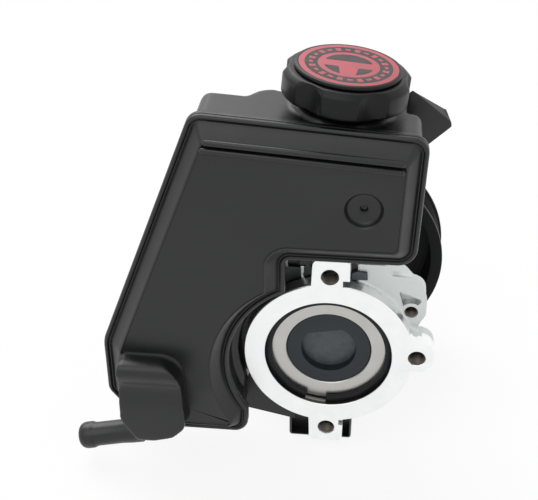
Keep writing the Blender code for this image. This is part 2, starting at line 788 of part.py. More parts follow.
def casting_shoulder():
    """Casts the shoulder behind the flange, between the top ear and the rear boss, with its recess."""
    left = SADDLE_LEG_GAP + SADDLE_LEG_THICK + FIT
    crest = EAR_TOP - 0.0065
    x, z = REAR_BOSS_X, REAR_BOSS_Z
    front_end = FLANGE_THICK + SHOULDER_DEPTH
    wall = plate("shoulder wall", [rounded_outline([
        (left, BARREL_RADIUS * 0.8, 0), (left, crest, 0), (x - 0.0136, crest, 0.0010),
        (x - 0.0112, z + 0.0212, 0.0020), (x - 0.0006, z + 0.0206, 0.0030),
        (x + 0.0046, z + 0.0180, 0.0040), (x + REAR_BOSS_RADIUS, z + 0.0060, 0.0050),
        (x + REAR_BOSS_RADIUS - 0.0004, z - 0.0010, 0), (x, z - 0.0200, 0), (x - 0.0200, 0, 0),
    ])], FLANGE_THICK - FIT, front_end)
    rail_side = left + 2 * RAIL_LEDGE + 2 * CLIP_THICK
    body = plate("shoulder body", [[
        (rail_side, BARREL_RADIUS * 0.7), (rail_side, crest - 0.0040), (x - 0.0140, crest - 0.0050),
        (x - 0.0030, z + 0.0140), (x + 0.0040, z + 0.0060), (x + 0.0050, z - 0.0020),
        (x, z - 0.0200), (x - 0.0200, 0),
    ]], front_end - 0.0010, SHOULDER_BACK)
    recess = plate("shoulder recess", [rounded_outline([
        (x - 0.0068, z + 0.0122, 0.0006), (x + 0.0056, z + 0.0072, 0.0012),
        (x - 0.0026, z - 0.0020, 0.0020),
    ])], FLANGE_THICK - 0.0020, FLANGE_THICK + SHOULDER_RECESS)
    return cut(join(wall, body), recess)


def housing_rail(side):
    """Makes one rail on the casting, which a clip holds to the reservoir's saddle."""
    inner = side * (SADDLE_LEG_GAP + SADDLE_LEG_THICK + FIT)
    neck = inner + side * RAIL_LEDGE * 0.5
    lip = inner + side * RAIL_LEDGE
    return plate("housing rail", [[
        (inner, BARREL_RADIUS * 0.8), (neck + side * 0.0006, BARREL_RADIUS * 0.8),
        (neck + side * 0.0006, RAIL_SPLIT - RAIL_LIP_HEIGHT), (lip, RAIL_SPLIT - RAIL_LIP_HEIGHT),
        (lip, RAIL_SPLIT - FIT), (inner, RAIL_SPLIT - FIT),
    ]], rail_front(side), LEG_BACK)


def rail_front(side):
    """Gives where a rail starts along Y: the right one lies behind the casting's shoulder."""
    return RIGHT_RAIL_FRONT if side > 0 else SADDLE_FRONT


def nose_rib(degrees):
    """Makes one of the ribs that stiffen the bearing nose."""
    rib = plate("nose rib", [[
        (BARREL_END - 0.0040, NOSE_RADIUS - 0.0030), (NOSE_END - 0.0080, NOSE_RADIUS - 0.0030),
        (BARREL_END + 0.0100, NOSE_RADIUS + 0.0040), (BARREL_END - 0.0040, BARREL_RADIUS - 0.0060),
    ]], -CASTING_RIB_THICK / 2, CASTING_RIB_THICK / 2, "X")
    return turn_about_shaft(rib, math.radians(degrees - 90))


def turn_about_shaft(obj, angle):
    """Turns an object about the shaft's axis."""
    obj.matrix_world = Matrix.Rotation(-angle, 4, "Y") @ obj.matrix_world
    return obj


def housing_bore():
    """Cuts the stepped bore for the plates, bush, seal, bearing and snap ring."""
    snap_outer = BEARING_OUTER + 0.0018
    return turned("housing bore", [
        (0, -0.0010), (BORE_RADIUS + BORE_CHAMFER * 2, -0.0010), (BORE_RADIUS, BORE_CHAMFER),
        (BORE_RADIUS, COVER_FACE - RING_THICK - 2 * FIT),
        (BORE_RADIUS + RING_GROOVE_DEPTH, COVER_FACE - RING_THICK - 2 * FIT),
        (BORE_RADIUS + RING_GROOVE_DEPTH, COVER_FACE), (BORE_RADIUS, COVER_FACE),
        (BORE_RADIUS, BORE_END), (SHAFT_RADIUS + BUSH_WALL + 2 * FIT, BORE_END),
        (SHAFT_RADIUS + BUSH_WALL + 2 * FIT, BUSH_BACK + FIT), (SEAL_OUTER + FIT, BUSH_BACK + FIT),
        (SEAL_OUTER + FIT, SEAL_BACK + FIT), (BEARING_OUTER + FIT, SEAL_BACK + FIT),
        (BEARING_OUTER + FIT, SNAP_FRONT - FIT), (snap_outer, SNAP_FRONT - FIT),
        (snap_outer, SNAP_BACK + FIT), (BEARING_OUTER + FIT, SNAP_BACK + FIT),
        (BEARING_OUTER + FIT + BORE_CHAMFER, NOSE_END + 0.0010), (0, NOSE_END + 0.0010),
    ], steps=BORE_STEPS)


def inlet_bore():
    """Cuts the stepped inlet that the reservoir's pipe plugs into."""
    return turned("inlet bore", [
        (0, BORE_RADIUS - 0.0030), (INLET_BORE, BORE_RADIUS - 0.0030),
        (INLET_BORE, INLET_BOSS_TOP - INLET_COUNTERBORE_DEPTH),
        (INLET_COUNTERBORE, INLET_BOSS_TOP - INLET_COUNTERBORE_DEPTH),
        (INLET_COUNTERBORE, INLET_BOSS_TOP + 0.0010), (0, INLET_BOSS_TOP + 0.0010),
    ], (0, INLET_Y, 0), Z_AXIS, SMALL_STEPS)


def valve_bore():
    """Cuts the flow control bore, open at the bottom for the outlet fitting."""
    return turned("valve bore", [
        (0, VALVE_BOTTOM - 0.0010), (VALVE_BORE, VALVE_BOTTOM - 0.0010), (VALVE_BORE, VALVE_BORE_TOP),
        (0, VALVE_BORE_TOP),
    ], (VALVE_X, VALVE_Y, 0), Z_AXIS, SMALL_STEPS)


def dowel(name, side, spare=0.0):
    """Makes a dowel pin through the plates into the casting, or its hole where there is spare room."""
    return rod(
        name, DOWEL_RADIUS + spare, (0, PLATE_BACK - DOWEL_SINK - spare, side * DOWEL_OFFSET),
        (0, BORE_END + DOWEL_SINK + spare, side * DOWEL_OFFSET), 14,
    )


def end_cover():
    """Turns the end cover: ground rim, dark centre, round socket with one flat, spring pocket."""
    rim = STACK_RADIUS
    groove_depth = 2 * O_RING_WIRE
    middle = COVER_FACE + COVER_THICK * 0.45
    cover = turned("end cover", [
        (0, COVER_FACE + 0.0006), (COVER_DARK_RADIUS - 0.0006, COVER_FACE + 0.0006),
        (COVER_DARK_RADIUS, COVER_FACE), (rim - 0.0010, COVER_FACE), (rim, COVER_FACE + 0.0010),
        (rim, middle - O_RING_WIRE - FIT), (rim - groove_depth, middle - O_RING_WIRE - FIT),
        (rim - groove_depth, middle + O_RING_WIRE + FIT), (rim, middle + O_RING_WIRE + FIT),
        (rim, COVER_BACK), (COVER_POCKET_RADIUS, COVER_BACK),
        (COVER_POCKET_RADIUS, COVER_BACK - COVER_POCKET_DEPTH), (0, COVER_BACK - COVER_POCKET_DEPTH),
    ], steps=BORE_STEPS)
    reach = math.acos(COVER_SOCKET_FLAT / COVER_SOCKET_RADIUS)
    middle_of_flat = math.pi / 2 - COVER_FLAT_TURN
    outline = arc(
        (0, 0), COVER_SOCKET_RADIUS, middle_of_flat + reach, middle_of_flat - reach + math.tau, 16,
    )
    socket = plate("cover socket", [outline], COVER_FACE - 0.0020, COVER_FACE + COVER_SOCKET_DEPTH)
    return finish(cut(cover, socket), "end_cover", phosphated_steel())


def end_cover_retaining_ring():
    """Bends the retaining ring that snaps into the bore in front of the end cover."""
    outer = BORE_RADIUS + RING_GROOVE_DEPTH - FIT
    half_gap = RING_GAP / 2 / outer
    start = RING_GAP_ANGLE + half_gap
    end = RING_GAP_ANGLE - half_gap + math.tau
    outline = arc((0, 0), outer, start, end, BORE_STEPS)
    outline += arc((0, 0), RING_INNER_RADIUS, end, start, BORE_STEPS)
    back = COVER_FACE - FIT
    ring = plate("end cover retaining ring", [outline], back - RING_THICK, back)
    return finish(ring, "end_cover_retaining_ring", dark_steel())


def stack_seals():
    """Makes the seal rings on the end cover and on the pressure plate."""
    middles = {
        "end_cover_o_ring": COVER_FACE + COVER_THICK * 0.45,
        "pressure_plate_o_ring": PLATE_FRONT + PLATE_THICK * 0.5,
    }
    radius = STACK_RADIUS - 2 * O_RING_WIRE + O_RING_WIRE + FIT * 0.5
    for name, middle in middles.items():
        ring = ring_of_wire(name, radius, O_RING_WIRE - FIT, (0, middle, 0), Y_AXIS, BORE_STEPS)
        finish(ring, name, nitrile_rubber())


def pressure_plate():
    """Turns the pressure plate, with its seal groove and the recess for the rotor's clip."""
    rim = STACK_RADIUS
    middle = PLATE_FRONT + PLATE_THICK * 0.5
    groove = rim - 2 * O_RING_WIRE
    blank = turned("pressure plate", [
        (SHAFT_RADIUS, PLATE_FRONT), (rim - 0.0008, PLATE_FRONT), (rim, PLATE_FRONT + 0.0008),
        (rim, middle - O_RING_WIRE - FIT), (groove, middle - O_RING_WIRE - FIT),
        (groove, middle + O_RING_WIRE + FIT), (rim, middle + O_RING_WIRE + FIT), (rim, PLATE_BACK),
        (ROTOR_SEAT_RADIUS + 0.0026, PLATE_BACK), (ROTOR_SEAT_RADIUS + 0.0026, PLATE_BACK - 0.0020),
        (SHAFT_RADIUS, PLATE_BACK - 0.0020),
    ], steps=BORE_STEPS)
    for side in (1, -1):
        cut(blank, dowel("plate dowel hole", side, FIT))
    return finish(blank, "pressure_plate", ground_steel())


def pressure_plate_spring():
    """Winds the spring that presses the plate to the cam ring."""
    radius = COVER_POCKET_RADIUS - 0.0024
    low = COVER_BACK - COVER_POCKET_DEPTH + FIT
    points = helix(radius, 0.0011, low, PLATE_FRONT - FIT, 3, 12)
    spring = wire("pressure plate spring", [(x, z, y) for x, y, z in points], 0.0011)
    return finish(spring, "pressure_plate_spring", dark_steel())


def cam_radius(angle):
    """Gives the cam ring's inner radius, which swells twice each turn."""
    return (CAM_MINOR + CAM_MAJOR) / 2 + (CAM_MAJOR - CAM_MINOR) / 2 * math.cos(2 * angle)


def cam_ring():
    """Makes the cam ring with its oval inside."""
    outer = arc((0, 0), STACK_RADIUS, 0, math.tau * (1 - 1 / BORE_STEPS), BORE_STEPS - 1)
    oval = [
        (cam_radius(angle) * math.cos(angle), cam_radius(angle) * math.sin(angle))
        for angle in (math.tau * step / 36 for step in range(36))
    ]
    ring = plate("cam ring", [outer, oval], CAM_FRONT, CAM_BACK)
    for side in (1, -1):
        cut(ring, dowel("cam dowel hole", side, FIT))
    return finish(ring, "cam_ring", ground_steel())


def vane_angles():
    return [math.tau * index / VANE_COUNT for index in range(VANE_COUNT)]


def rotor():
    """Makes the rotor, slotted for its vanes."""
    slot_bottom = ROTOR_RADIUS - VANE_LENGTH - 2 * FIT
    half = VANE_THICK / 2 + FIT
    outline = []
    for angle in vane_angles():
        along = Vector((math.cos(angle), math.sin(angle)))
        across = Vector((-along.y, along.x))
        edge = math.asin(half / ROTOR_RADIUS)
        mouth = math.sqrt(ROTOR_RADIUS ** 2 - half ** 2)
        outline += [
            tuple(along * mouth - across * half), tuple(along * slot_bottom - across * half),
            tuple(along * slot_bottom + across * half),
        ]
        outline += arc((0, 0), ROTOR_RADIUS, angle + edge, angle + math.tau / VANE_COUNT - edge, 3)[:-1]
    bore = arc((0, 0), ROTOR_SEAT_RADIUS + FIT, 0, math.tau * 23 / 24, 23)
    body = plate("rotor", [outline, bore], ROTOR_FRONT, ROTOR_BACK)
    return finish(body, "rotor", ground_steel())


def vanes():
    """Makes the vanes, each in its slot with its rounded tip just inside the rotor's edge."""
    tip = ROTOR_RADIUS - FIT
    for index, angle in enumerate(vane_angles()):
        vane = box(
            "vane", (tip - VANE_LENGTH, ROTOR_FRONT, -VANE_THICK / 2), (tip, ROTOR_BACK, VANE_THICK / 2),
        )
        turn_about_shaft(settle(vane), angle)
        finish(vane, f"vane_{index + 1}", ground_steel())


def settle(obj):
    """Brings an object's world matrix up to date with its place."""
    bpy.context.view_layer.update()
    return obj


def dowel_pins():
    """Makes the two dowel pins that keep the plates and the cam ring in line."""
    for name, side in (("dowel_pin_upper", 1), ("dowel_pin_lower", -1)):
        finish(dowel(name, side), name, ground_steel())


def thrust_plate():
    """Makes the plate between the cam ring and the end of the bore."""
    blank = turned("thrust plate", [
        (SHAFT_RADIUS + FIT, THRUST_FRONT), (STACK_RADIUS, THRUST_FRONT), (STACK_RADIUS, THRUST_BACK),
        (SHAFT_RADIUS + FIT, THRUST_BACK),
    ], steps=BORE_STEPS)
    for side in (1, -1):
        cut(blank, dowel("thrust dowel hole", side, FIT))
    return finish(blank, "thrust_plate", ground_steel())


def rotor_retaining_ring():
    """Makes the clip that keeps the rotor on the shaft."""
    outline = arc((0, 0), ROTOR_SEAT_RADIUS + 0.0020, 0.3, math.tau - 0.3, 14)
    outline += arc((0, 0), ROTOR_SEAT_RADIUS - 0.0005, math.tau - 0.3, 0.3, 14)
    back = ROTOR_FRONT - FIT
    ring = plate("rotor retaining ring", [outline], back - 0.0012, back)
    return finish(ring, "rotor_retaining_ring", dark_steel())


def drive_shaft():
    """Turns the shaft: clip groove, rotor seat, journal, pulley seat and centre hole."""
    front = PLATE_BACK - SHAFT_FRONT_MARGIN
    groove_front = ROTOR_FRONT - FIT - 0.0012 - FIT
    groove = ROTOR_SEAT_RADIUS - 0.0008
    seat = PULLEY_HUB_NEAR - FIT
    end = PULLEY_HUB_FAR + 0.0005
    shaft = turned("drive shaft", [
        (0, front), (ROTOR_SEAT_RADIUS - 0.0010, front), (ROTOR_SEAT_RADIUS, front + 0.0010),
        (ROTOR_SEAT_RADIUS, groove_front), (groove, groove_front), (groove, ROTOR_FRONT),
        (ROTOR_SEAT_RADIUS, ROTOR_FRONT), (ROTOR_SEAT_RADIUS, CAM_BACK), (SHAFT_RADIUS, CAM_BACK),
        (SHAFT_RADIUS, seat), (PULLEY_SEAT_RADIUS, seat), (PULLEY_SEAT_RADIUS, end - 0.0010),
        (PULLEY_SEAT_RADIUS - 0.0010, end), (SHAFT_CENTRE_HOLE + 0.0008, end),
        (SHAFT_CENTRE_HOLE, end - 0.0010), (SHAFT_CENTRE_HOLE, end - SHAFT_CENTRE_DEPTH),
        (0, end - SHAFT_CENTRE_DEPTH - SHAFT_CENTRE_HOLE * 0.5),
    ], steps=SMALL_STEPS)
    return finish(shaft, "drive_shaft", ground_steel())


def shaft_bush():
    """Turns the plain bush that carries the shaft behind the thrust plate."""
    bush = turned("shaft bush", [
        (SHAFT_RADIUS + FIT, BUSH_FRONT), (SHAFT_RADIUS + BUSH_WALL + FIT, BUSH_FRONT),
        (SHAFT_RADIUS + BUSH_WALL + FIT, BUSH_BACK), (SHAFT_RADIUS + FIT, BUSH_BACK),
    ], steps=SMALL_STEPS)
    return finish(bush, "shaft_bush", bronze())


def shaft_seal():
    """Turns the lip seal between the bush and the bearing."""
    lip = SHAFT_RADIUS + FIT
    seal = turned("shaft seal", [
        (lip, SEAL_FRONT + 0.0018), (lip + 0.0016, SEAL_FRONT), (SEAL_OUTER, SEAL_FRONT),
        (SEAL_OUTER, SEAL_BACK), (lip + 0.0008, SEAL_BACK), (lip + 0.0008, SEAL_BACK - 0.0014),
        (SEAL_OUTER - 0.0018, SEAL_BACK - 0.0014), (SEAL_OUTER - 0.0018, SEAL_FRONT + 0.0016),
        (lip + 0.0022, SEAL_FRONT + 0.0024), (lip + 0.0006, SEAL_FRONT + 0.0034),
    ], steps=SMALL_STEPS)
    return finish(seal, "shaft_seal", nitrile_rubber())


def race_groove(radius_sign):
    """Lists the points of a ball groove, from front to back, on the inner or outer race."""
    reach = BALL_RADIUS + FIT
    half = RACE_GAP / 2
    spread = math.acos(half / reach)
    return [
        (BALL_PITCH + radius_sign * reach * math.cos(angle),
         (BEARING_FRONT + BEARING_BACK) / 2 + reach * math.sin(angle))
        for angle in (-spread + 2 * spread * step / 4 for step in range(5))
    ]


def bearing_rings():
    """Turns the two rings of the ball bearing."""
    half = RACE_GAP / 2
    outer = turned("bearing outer ring", [
        (BALL_PITCH + half, BEARING_FRONT), *race_groove(1), (BALL_PITCH + half, BEARING_BACK),
        (BEARING_OUTER, BEARING_BACK), (BEARING_OUTER, BEARING_FRONT),
    ], steps=20)
    inner = turned("bearing inner ring", [
        (SHAFT_RADIUS + FIT, BEARING_FRONT), (SHAFT_RADIUS + FIT, BEARING_BACK),
        (BALL_PITCH - half, BEARING_BACK), *reversed(race_groove(-1)), (BALL_PITCH - half, BEARING_FRONT),
    ], steps=20)
    finish(outer, "bearing_outer_ring", ground_steel())
    finish(inner, "bearing_inner_ring", ground_steel())


def bearing_cage_and_balls():
    """Makes the cage with its pockets, and the balls in them."""
    middle = (BEARING_FRONT + BEARING_BACK) / 2
    half_width = BALL_RADIUS + FIT + CAGE_RAIL
    cage = turned("bearing cage", [
        (BALL_PITCH - CAGE_HALF_WALL, middle - half_width),
        (BALL_PITCH + CAGE_HALF_WALL, middle - half_width),
        (BALL_PITCH + CAGE_HALF_WALL, middle + half_width),
        (BALL_PITCH - CAGE_HALF_WALL, middle + half_width),
    ], steps=24)
    for index in range(BALL_COUNT):
        angle = math.tau * index / BALL_COUNT
        along = Vector((math.cos(angle), 0, math.sin(angle)))
        centre = along * BALL_PITCH + Y_AXIS * middle
        reach = along * CAGE_POCKET_REACH
        cut(cage, rod("cage pocket", BALL_RADIUS + FIT, centre - reach, centre + reach, 8))
        bm = bmesh.new()
        bmesh.ops.create_icosphere(bm, subdivisions=2, radius=BALL_RADIUS)
        ball = mesh_object("ball", bm)
        ball.location = centre
        finish(ball, f"bearing_ball_{index + 1}", ground_steel())
    finish(cage, "bearing_cage", bronze())


def bearing_snap_ring():
    """Bends the snap ring that keeps the bearing in the nose."""
    outer = BEARING_OUTER + 0.0018 - FIT
    inner = BEARING_OUTER - 0.0022
    gap = 0.18
    outline = arc((0, 0), outer, -math.pi / 2 + gap, math.pi * 1.5 - gap, 22)
    outline += arc((0, 0), inner, math.pi * 1.5 - gap, -math.pi / 2 + gap, 22)
    ring = plate("bearing snap ring", [outline], SNAP_FRONT, SNAP_BACK)
    return finish(ring, "bearing_snap_ring", dark_steel())


def pulley():
    """Turns the ribbed belt pulley, a cup open towards the pump with its hub inside."""
    rim_inner = PULLEY_RADIUS - PULLEY_RIM_WALL
    bore = PULLEY_SEAT_RADIUS + FIT
    web_front = PULLEY_WEB_BACK - PULLEY_WEB_THICK
    profile = [
        (bore, PULLEY_HUB_NEAR), (PULLEY_HUB_RADIUS, PULLEY_HUB_NEAR),
        (PULLEY_HUB_RADIUS, web_front - WEB_STEP_DEPTH - 0.0020),
        (PULLEY_HUB_RADIUS + 0.0020, web_front - WEB_STEP_DEPTH),
        (WEB_STEP_RADIUS - 0.0030, web_front - WEB_STEP_DEPTH), (WEB_STEP_RADIUS, web_front),
        (rim_inner - 0.0030, web_front), (rim_inner, web_front - 0.0030),
        (rim_inner, PULLEY_NEAR + 0.0010), (rim_inner + 0.0010, PULLEY_NEAR),
        (PULLEY_RADIUS - 0.0006, PULLEY_NEAR), (PULLEY_RADIUS, PULLEY_NEAR + 0.0006),
    ]
    band = PULLEY_GROOVES * PULLEY_GROOVE_PITCH
    first = (PULLEY_NEAR + PULLEY_FAR - band) / 2
    for groove in range(PULLEY_GROOVES):
        start = first + groove * PULLEY_GROOVE_PITCH
        crest = PULLEY_RADIUS if groove == 0 else PULLEY_RADIUS - 0.0012
        profile.append((crest, start + 0.0001))
        profile.append((PULLEY_RADIUS - 0.0012 - PULLEY_GROOVE_DEPTH, start + PULLEY_GROOVE_PITCH / 2))
    profile += [
        (PULLEY_RADIUS, first + band), (PULLEY_RADIUS, PULLEY_FAR - 0.0006),
        (PULLEY_RADIUS - 0.0006, PULLEY_FAR), (rim_inner - 0.0004, PULLEY_FAR),
        (rim_inner - 0.0020, PULLEY_WEB_BACK), (WEB_STEP_RADIUS + 0.0030, PULLEY_WEB_BACK),
        (WEB_STEP_RADIUS, PULLEY_WEB_BACK - WEB_STEP_DEPTH),
        (PULLEY_HUB_RADIUS, PULLEY_WEB_BACK - WEB_STEP_DEPTH), (PULLEY_HUB_RADIUS, PULLEY_HUB_FAR),
        (bore, PULLEY_HUB_FAR),
    ]
    return finish(turned("pulley", profile, steps=BORE_STEPS), "pulley", black_paint())


def flow_control_valve():
    """Makes the spool, its spring, the outlet fitting and the fitting's seal ring."""
    origin = (VALVE_X, VALVE_Y, 0)
    spool_top = VALVE_BORE_TOP - SPOOL_TOP_CLEAR
    spool_bottom = spool_top - SPOOL_LENGTH
    land = VALVE_BORE - FIT
    neck = land - 0.0020
    spool = turned("flow control spool", [
        (0, spool_bottom), (land - 0.0006, spool_bottom), (land, spool_bottom + 0.0006),
        (land, spool_bottom + 0.0060), (neck, spool_bottom + 0.0075),
        (neck, spool_top - 0.0085), (land, spool_top - 0.0070), (land, spool_top),
        (land - 0.0018, spool_top), (land - 0.0018, spool_top - 0.0040), (0, spool_top - 0.0040),
    ], origin, Z_AXIS, SMALL_STEPS)
    finish(spool, "flow_control_spool", ground_steel())
    points = helix(0.0048, FLOW_SPRING_WIRE, spool_top - 0.0040 + FIT, VALVE_BORE_TOP - FIT, 5, 9)
    spring = wire(
        "flow control spring", [(x + VALVE_X, y + VALVE_Y, z) for x, y, z in points], FLOW_SPRING_WIRE,
    )
    finish(spring, "flow_control_spring", dark_steel())
    plug_top = spool_bottom - FIT
    seat = VALVE_BOTTOM
    fitting = turned("outlet fitting", [
        (FITTING_BORE, plug_top), (land, plug_top), (land, seat - FIT + 0.0016),
        (land - 0.0014, seat - FIT + 0.0016), (land - 0.0014, seat - FIT),
        (FITTING_HEX + 0.0010, seat - FIT), (FITTING_HEX + 0.0010, seat - FIT - 0.0012),
        (land + 0.0005, seat - FIT - 0.0012), (land + 0.0005, seat - FITTING_HEX_HEIGHT - 0.0020),
        (FITTING_BORE + 0.0016, seat - FITTING_HEX_HEIGHT - 0.0020),
        (FITTING_BORE, seat - FITTING_HEX_HEIGHT + 0.0010),
    ], origin, Z_AXIS, SMALL_STEPS)
    hexagon = rod(
        "fitting hexagon", FITTING_HEX / math.cos(math.pi / 6),
        (VALVE_X, VALVE_Y, seat - FITTING_HEX_HEIGHT), (VALVE_X, VALVE_Y, seat - FIT - 0.0008), 6,
    )
    bore = rod(
        "fitting bore", FITTING_BORE, (VALVE_X, VALVE_Y, seat - 0.0200),
        (VALVE_X, VALVE_Y, plug_top + 0.0010), SMALL_STEPS,
    )
    join(fitting, hexagon)
    cut(fitting, bore)
    finish(fitting, "outlet_fitting", ground_steel())
    seal = ring_of_wire(
        "outlet fitting seal", land - 0.0004, 0.00055, (VALVE_X, VALVE_Y, seat - FIT + 0.0009), Z_AXIS,
        SMALL_STEPS,
    )
    finish(seal, "outlet_fitting_seal", nitrile_rubber())


def suction_seal():
    """Makes the seal ring round the reservoir's pipe in the casting's inlet."""
    pipe = INLET_BORE - FIT
    room = INLET_COUNTERBORE - pipe
    ring = ring_of_wire(
        "suction seal", pipe + room / 2, room / 2 - FIT,
        (0, INLET_Y, INLET_BOSS_TOP - INLET_COUNTERBORE_DEPTH + room / 2), Z_AXIS, SMALL_STEPS,
    )
    return finish(ring, "suction_seal", nitrile_rubber())


def ridge(share):
    """Makes one of the two moulded ridges along the top of the front shell."""
    outline = reservoir_outline(panel_insets(share), PANEL_CUTOUT_INSET * share)
    left = outline[CORNER_STEPS]
    right = outline[CORNER_STEPS + 1]
    depth = WELD_PLANE + (PANEL_DEPTH - WELD_PLANE) * share
    return wire("front shell ridge", [(left[0], depth, left[1]), (right[0], depth, right[1])], RIDGE_RADIUS)


def outlet_housing():
    """Makes the raised corner of the front shell that the return pipe leaves."""
    outline = plate("outlet corner outline", [rounded_outline([
        (OUTLET_LEFT, OUTLET_TOP, 0.0040), (OUTLET_RIGHT - 0.0030, OUTLET_TOP, 0.0120),
        (OUTLET_RIGHT, OUTLET_BOTTOM + 0.0132, 0.0080),
        (OUTLET_RIGHT - 0.0067, OUTLET_BOTTOM + 0.0064, 0.0050),
        (OUTLET_LEFT + 0.0095, OUTLET_BOTTOM, 0.0040), (OUTLET_LEFT, -0.0270, 0.0050),
    ])], OUTLET_FRONT - 0.0040, WELD_PLANE - 0.0020)
    inside = PANEL_DEPTH + 0.0040
    shoulder = OUTLET_TOP - 0.0050
    profile = plate("outlet corner profile", [[
        (inside, OUTLET_TOP + 0.0020), (PANEL_DEPTH - 0.0015, OUTLET_TOP),
        (PANEL_DEPTH - 0.0062, OUTLET_TOP - 0.0015), (OUTLET_FRONT + 0.0016, shoulder + 0.0010),
        (OUTLET_FRONT, shoulder - 0.0030), (OUTLET_FRONT + 0.0004, shoulder - 0.0055),
        (OUTLET_FRONT + OUTLET_DISH, shoulder - 0.0090),
        (OUTLET_FRONT + OUTLET_DISH, shoulder - 0.0130), (OUTLET_FRONT + 0.0006, shoulder - 0.0180),
        (OUTLET_FRONT + 0.0006, OUTLET_FACE_BOTTOM), (PANEL_DEPTH, OUTLET_BOTTOM - 0.0008),
        (inside, OUTLET_BOTTOM - 0.0020),
    ]], OUTLET_LEFT - 0.0100, OUTLET_RIGHT + 0.0100, "X")
    combine(outline, [profile], "INTERSECT")
    return round_edges(outline, OUTLET_ROUND, 2)


def pipe_direction():
    return Vector((-math.cos(PIPE_DROP), 0, -math.sin(PIPE_DROP)))


def return_pipe():
    """Makes the return pipe with the barb that holds its hose."""
    return turned("return pipe", [
        (0, 0), (PIPE_RADIUS + 0.0008, 0), (PIPE_RADIUS, 0.0120), (PIPE_RADIUS, PIPE_LENGTH - 0.0080),
        (PIPE_BARB_RADIUS, PIPE_LENGTH - 0.0076), (PIPE_BARB_RADIUS, PIPE_LENGTH - 0.0060),
        (PIPE_RADIUS - 0.0006, PIPE_LENGTH), (0, PIPE_LENGTH),
    ], PIPE_START, pipe_direction(), SMALL_STEPS)


def reservoir_front_shell():
    """Moulds the front half: weld bead, sloped border, flat panel, boss, ridges and outlet corner."""
    inner_panel = PANEL_DEPTH + RESERVOIR_WALL
    wall = TANK_INSET + RESERVOIR_WALL
    shell = loft("front shell", [
        section_at(even_insets(0), 0, WELD_PLANE),
        section_at(even_insets(0), 0, WELD_PLANE - 0.0016),
        section_at(even_insets(0.0010), 0.0010, WELD_PLANE - 0.0024),
        section_at(even_insets(0.0020), 0.0020, WELD_PLANE - 0.0018),
        section_at(panel_insets(0.93), PANEL_CUTOUT_INSET * 0.93, PANEL_DEPTH + 0.0006),
        section_at(panel_insets(1.06), PANEL_CUTOUT_INSET * 1.06, PANEL_DEPTH),
    ])
    cavity = loft("front shell cavity", [
        section_at(even_insets(wall), wall, WELD_PLANE + 0.0010),
        section_at(even_insets(wall), wall, WELD_PLANE - 0.0006),
        section_at(
            panel_insets(1.0, RESERVOIR_WALL), PANEL_CUTOUT_INSET + RESERVOIR_WALL, inner_panel,
        ),
    ])
    boss = turned("face boss", [
        (0, 0), (FACE_BOSS_RADIUS, 0), (FACE_BOSS_RADIUS, RESERVOIR_WALL * 0.6),
        (FACE_BOSS_TOP_RADIUS, RESERVOIR_WALL * 0.6 + FACE_BOSS_HEIGHT),
        (FACE_BOSS_DIMPLE, RESERVOIR_WALL * 0.6 + FACE_BOSS_HEIGHT),
        (FACE_BOSS_DIMPLE * 0.5, RESERVOIR_WALL * 0.6 + FACE_BOSS_HEIGHT - 0.0012),
        (0, RESERVOIR_WALL * 0.6 + FACE_BOSS_HEIGHT - 0.0012),
    ], (FACE_BOSS_X, PANEL_DEPTH + RESERVOIR_WALL * 0.6, FACE_BOSS_Z), -Y_AXIS, 24)
    join(shell, outlet_housing(), return_pipe())
    cut(shell, cavity)
    join(shell, boss, *[ridge(share) for share in RIDGE_SHARES])
    end = PIPE_START + pipe_direction() * (PIPE_LENGTH + 0.0010)
    inside = PIPE_START - pipe_direction() * 0.0180
    cut(shell, rod("return pipe bore", PIPE_BORE, inside, end, 14))
    return finish(shell, "reservoir_front_shell", black_nylon())


def tank_top(x):
    """Gives the height of the tank's top wall at a distance across."""
    (left, left_height), (right, right_height) = RESERVOIR_SIDES["top"]
    return left_height - TANK_INSET + (x - left) * (right_height - left_height) / (right - left)


def neck_block(inset, front):
    """Makes the deep part of the rear half that carries the filler neck, or the space inside it."""
    left = NECK_BLOCK_LEFT + inset
    right = NECK_BLOCK_RIGHT - inset
    bottom = NECK_BLOCK_BOTTOM + inset
    back = WING_BLOCK_BACK - inset
    block = plate("neck block", [rounded_outline([
        (left, bottom, 0.0040), (left, tank_top(left) - inset, 0.0030),
        (right, tank_top(right) - inset, 0.0050), (right, bottom, 0.0060),
    ])], front, back)
    plan = plate("neck block plan", [rounded_outline([
        (left - 0.0010, front - 0.0010, 0), (left - 0.0010, NECK_BLOCK_BACK - inset, 0.0050),
        (NECK_BLOCK_STEP_X + inset, NECK_BLOCK_BACK - inset, 0.0050),
        (NECK_BLOCK_STEP_X + 0.0110 + inset, back, 0.0050), (right + 0.0010, back, 0.0040),
        (right + 0.0010, front - 0.0010, 0),
    ])], bottom - 0.0010, tank_top(left) + 0.0010, "Z")
    return combine(block, [plan], "INTERSECT")


